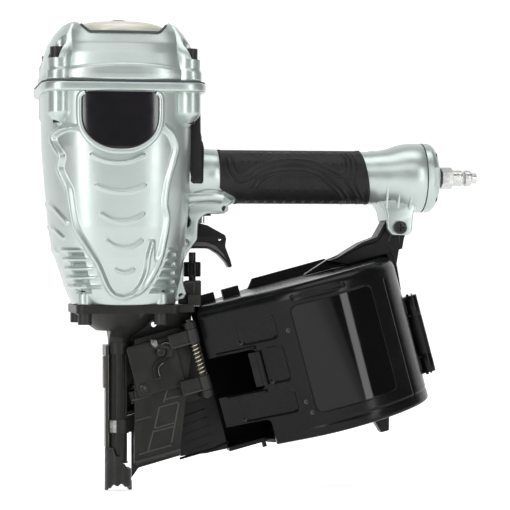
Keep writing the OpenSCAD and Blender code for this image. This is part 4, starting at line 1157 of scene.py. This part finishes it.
def make_guide_door():
    main = plate("guide_door_plate", [rounded(DOOR_PLATE, 2), circle(29.4, 101.3, 2.2, 24)], -9, -4.6, 0.7,
                 CASTING_LOOK, "guide_door", rounds=3)
    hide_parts("nail_guide_door")
    upper = rounded([(31, 62, 3), (67, 62, 2), (67, 100, 2), (31, 100, 3)], 2)
    plate("guide_door_cover", [upper, circle(54.6, 90.2, 2.2, 24)], -11.9, -8.8, 0.9, CASTING_LOOK,
          "guide_door", feed_side, rounds=3)
    for k, (low, high) in enumerate(((55.1, 65.7), (90.3, 100.8))):
        profile = ((4.1, low), (4.4, low + 0.4), (4.4, high - 0.4), (4.1, high), (2.1, high), (2.1, low))
        rings = [ring(radius, w, HINGE_U, HINGE_Y, 48) for radius, w in profile]
        hollow_sleeve("guide_door_knuckle_%d" % (k + 1), rings, CASTING_LOOK, "guide_door", feed_axes)
        for part, u, y, edge in (("arm", (62, 76.2), (-19.4, -13.6), 0.8),
                                 ("root", (62, 69.5), (-14.4, -7.6), 0.7)):
            block("guide_door_%s_%d" % (part, k + 1), u, y, (low, high), edge, CASTING_LOOK, "guide_door",
                  feed_axes)
        rod("guide_door_arm_lip_%d" % (k + 1), [(63, -19.4, low + 0.9), (79.5, -20.5, low + 0.9)], 0.6,
            CASTING_LOOK, "guide_door", feed_axes, sides=10)
    for k, line in enumerate(DOOR_CELLS):
        rod("guide_door_rib_%02d" % (k + 1), [(x, -9.0, z) for x, z in line], 0.7, CASTING_LOOK,
            "guide_door", sides=8)
    ledge = [(11.6, 21.2), (24, 24.4), (44.4, 30)]
    rod("guide_door_ledge", [(x, -9.1, z) for x, z in ledge], 1.1, CASTING_LOOK, "guide_door", sides=12)


def foot_low(t):
    """The foot's wavy lower edge: claws to the left and right, an arch to the front and back."""
    arch = abs(math.sin(t)) ** 1.5
    return 4.6 * arch + 0.9 * arch * math.cos(9 * t) + 0.45 * (1 - arch) * (1 - math.cos(18 * t))


def foot_high(t):
    across, side = math.cos(t), abs(math.sin(t))
    left = 31.5 - 6 * float(ease((across + 0.55) / 0.35))
    right = 20.0 - 3.5 * float(ease((across - 0.35) / 0.25))
    to_right = float(ease((across - 0.12) / 0.12))
    height = left * (1 - to_right) + right * to_right
    slot = float(ease((0.47 - side) / 0.06)) if across > 0 else 0.0
    return height * (1 - slot) + 7.0 * slot


def make_foot():
    rings = []
    turns = np.linspace(0, 2 * math.pi, 180, endpoint=False)
    levels = [0, 0.012, 0.05] + list(np.linspace(0.12, 0.88, 12)) + [0.95, 0.985, 1]
    for radius, inward in ((10.0, False), (7.5, True)):
        for share in (levels[::-1] if inward else levels):
            rounding = 0.45 if share in (0, 1) else 0.0
            here = radius + rounding if inward else radius - rounding
            heights = [foot_low(t) + (foot_high(t) - foot_low(t)) * share for t in turns]
            rings.append([(here * math.cos(t), here * math.sin(t), z) for t, z in zip(turns, heights)])
    foot = hollow_sleeve("contact_foot_claws", rings, STEEL_LOOK, "contact_lever", sharp=50)
    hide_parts("contact_foot")


def make_nose_details():
    for side, where in ((-1, "near"), (1, "far")):
        for k, (x, tip_x) in enumerate(((-27, -9), (29, 10))):
            outline = rounded([(x, 129.8), (x * 0.55, 129.8), (tip_x * 0.8, 122), (tip_x * 0.9, 119),
                               (x, 126.3)], 0.8)
            low, high = sorted((side * 4.5, side * 6.9))
            plate("nose_gusset_%d_%s" % (k + 1, where), [outline], low, high, 0.5, CASTING_LOOK, "tool")
    for k, (x, y) in enumerate(((-3.4, -6.3), (1.6, -6.95), (5.2, -4.9))):
        foot_x, foot_y = 0.94 * x, 0.94 * y
        rod("nose_tube_rib_%d" % (k + 1), [(foot_x, foot_y, 33), (foot_x, foot_y, 41.4)], 0.45, MATT_LOOK,
            "tool", sides=10)
        rod("nose_tube_rib_%d_upper" % (k + 1), [(x, y, 52.6), (x, y, 99.4)], 0.7, MATT_LOOK, "tool",
            sides=10)
    # a light steel skin on the left front of the nose ring only: a painted highlight where the light falls
    band = [(z, -7.0, -2.2) for z in np.linspace(42.6, 51.4, 6)]
    curved_panel("nose_band_painted_highlight", band, lambda x, out: -math.sqrt((8.2 + out) ** 2 - x * x), 0.22, 0.4,
                 STEEL_WEAR_AND_HIGHLIGHT_LOOK, "tool", as_built, columns=30)
    web = rounded([(5, 104), (52, 117), (52, 130.6), (5, 130.6)], 1)
    plate("nose_web", [web, circle(27, 121, 2.2, 24)], 4.7, 8.8, 0.5, CASTING_LOOK, "tool")
    wall = rounded([(56, 46.3), (86.2, 46.3), (86.2, 104.3), (56, 104.3)], 1)
    plate("hinge_spring_wall", [wall], 5, 8.6, 0.5, CASTING_LOOK, "tool", feed_side)
    guard = rounded([(43.5, 136), (60.4, 136), (60.4, 153.4), (49.2, 153.4), (43.5, 150)], 1.2)
    plate("lever_guard", [guard], -6.5, -3.3, 0.7, CASTING_LOOK, "tool", rounds=3)
    rod("lever_guard_rib", [(55, -6.5, 137.5), (55, -6.5, 152)], 0.7, CASTING_LOOK, "tool", sides=10)
    for k in range(5):
        w = 13.5 + 6.4 * k
        line = [(57.5, 4.45, w - 1.2), (72, 4.4, w), (77.6, 4.35, w + 0.5)]
        rod("link_rib_%d" % (k + 1), line, 0.6, PLASTIC_LOOK, "tool", feed_axes, sides=8)
    lip = [(50, 4.3, 9.2), (77, 4.3, 9.2), (88.5, 4.3, 11.2)]
    rod("link_lip", lip, 0.9, PLASTIC_LOOK, "tool", feed_axes, sides=10)


def make_feeder_shroud():
    """A cover round the feed fork, on the far side of the nail guide."""
    for part, u, y, w in (("back", (18, 55.6), (27.6, 29.8), (50, 74)),
                          ("top", (18, 55.6), (8.7, 28), (71, 74)),
                          ("low", (18, 55.6), (8.7, 28), (50, 53)), ("end", (18, 20), (8.7, 28), (51, 73))):
        block("feeder_shroud_" + part, u, y, w, 0.6, CASTING_LOOK, "tool", feed_axes)


def make_dial():
    """The knurled depth dial."""
    turns = np.linspace(0, 2 * math.pi, 216, endpoint=False)
    rings = []
    for radius, z, flute in ((5.4, 156.05, 0), (6.0, 156.1, 0), (6.3, 156.6, 0), (6.35, 157.4, 0.1),
                             (6.35, 158, 0.8), (6.35, 165, 0.8), (6.35, 165.6, 0.1), (6.3, 166.4, 0),
                             (6.0, 166.9, 0), (3.4, 166.95, 0), (2.65, 166.7, 0), (2.65, 156.3, 0),
                             (3.2, 156.05, 0)):
        groove = np.clip(np.cos(12 * turns), 0, 1) ** 2 * flute
        rings.append(section(turns, radius - groove, z) + [DIAL_X, 0, 0])
    dial = hollow_sleeve("dial_knurl", rings, PLASTIC_LOOK, "dial", sharp=40)
    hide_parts("adjuster_dial")


# ---------------------------------------------------------------- bracket and far half of the magazine

BRACKET_RIBS = [
    [(160.5, 168.6), (180.5, 178.6), (193.4, 183.2), (199.4, 194)],
    [(200.6, 178.5), (205.6, 168), (209.6, 146)],
    [(200.8, 182), (204.4, 190.5), (206.6, 197)], [(209.4, 181), (209, 190)]]


def make_bracket_ribs():
    gusset = rounded([(137, 156.2), (156.6, 168.6), (172, 175), (172, 164.8)], 0.8)
    plate("bracket_foot", [gusset], 0.8, 8, 0.6, PLASTIC_LOOK, "tool")
    for k, line in enumerate(BRACKET_RIBS):
        for side, name in ((-9.0, "bracket_rib_%d"), (9.0, "bracket_back_rib_%d")):
            path = [(x, side, z) for x, z in smooth_line(line, 5)]
            rod(name % (k + 1), path, 0.8, PLASTIC_LOOK, "tool", sides=10)


def make_far_wall_frames():
    """Raised frames round three panels on the magazine's fixed half."""
    for k, (low, high) in enumerate(((16, 42), (48, 74), (80, 102))):
        outline = dense_outline(rounded_box(146, 206, low, high, 5, 6))
        raised = [(u, -drum_wall_y(u, -0.5), w) for u, w in outline]
        rod("magazine_frame_%d" % (k + 1), raised, 0.45, PLASTIC_LOOK, "tool", feed_axes, sides=10,
            closed=True)


# ---------------------------------------------------------------- stage, lights and camera

def area_light(name, where, aim, width, height, power):
    data = bpy.data.lights.new(name, "AREA")
    data.shape = "RECTANGLE"
    data.size, data.size_y = width, height
    data.energy = power
    lamp = bpy.data.objects.new(name, data)
    bpy.context.scene.collection.objects.link(lamp)
    lamp.location = where
    lamp.rotation_euler = (Vector(aim) - Vector(where)).to_track_quat("-Z", "Y").to_euler()


def make_stage():
    """A pale floor that curves up into a backdrop behind the tool."""
    front, back, bend, top, half = -8.0, 2.4, 0.8, 7.5, 7.0
    sunk_by = 0.0004
    profile = [(front, 0.0), (back, 0.0)]
    profile += [(back + bend * math.sin(t), bend - bend * math.cos(t))
                for t in np.linspace(0.1, math.pi / 2, 12)]
    profile += [(back + bend, top)]
    points = [(side * half, y, z - sunk_by) for y, z in profile for side in (-1, 1)]
    faces = [(2 * i, 2 * i + 1, 2 * i + 3, 2 * i + 2) for i in range(len(profile) - 1)]
    mesh = bpy.data.meshes.new("floor")
    mesh.from_pydata(points, [], faces)
    mesh.shade_smooth()
    floor = bpy.data.objects.new("floor", mesh)
    bpy.context.scene.collection.objects.link(floor)
    material = bpy.data.materials.new("pale_floor")
    material.use_nodes = True
    shader = material.node_tree.nodes["Principled BSDF"]
    shader.inputs["Base Color"].default_value = (0.90, 0.90, 0.90, 1)
    shader.inputs["Roughness"].default_value = 0.8
    shader.inputs["Emission Color"].default_value = (1, 1, 1, 1)
    shader.inputs["Emission Strength"].default_value = 0.66
    mesh.materials.append(material)


def make_lights():
    world = bpy.data.worlds.new("studio")
    world.use_nodes = True
    world.node_tree.nodes["Background"].inputs["Color"].default_value = (1, 1, 1, 1)
    world.node_tree.nodes["Background"].inputs["Strength"].default_value = 0.10
    bpy.context.scene.world = world
    target = (0.09, 0, 0.18)
    area_light("softbox_left", (-0.95, -1.15, 0.5), target, 0.45, 1.4, 10)
    area_light("softbox_right", (0.95, -1.4, 0.45), target, 0.28, 1.2, 6)
    area_light("softbox_top", (0.1, -0.2, 1.5), target, 1.4, 0.7, 8)
    area_light("softbox_front", (-0.1, -1.5, 1.35), target, 1.6, 0.7, 6)


def make_camera():
    data = bpy.data.cameras.new("camera")
    data.sensor_width = 36
    data.lens = 152.6
    camera = bpy.data.objects.new("camera", data)
    bpy.context.scene.collection.objects.link(camera)
    aim = Vector((0.1016, 0, 0.172))
    azimuth = math.radians(-10)
    distance = 1.6
    camera.location = aim + distance * Vector((math.sin(azimuth), -math.cos(azimuth), 0))
    camera.rotation_euler = (aim - camera.location).to_track_quat("-Z", "Y").to_euler()
    bpy.context.scene.camera = camera
    bpy.context.scene.view_settings.view_transform = "Standard"


make_barrel()
make_flange()
make_badge()
make_cap()
make_deflector()
make_handle_casting()
make_web()
make_lug()
make_pad()
make_grip()
make_trigger()
make_magazine_door()
make_foot()
make_door_latch()
make_guide_door()
make_nose_details()
make_feeder_shroud()
make_dial()
make_bracket_ribs()
make_far_wall_frames()
make_stage()
make_lights()
make_camera()
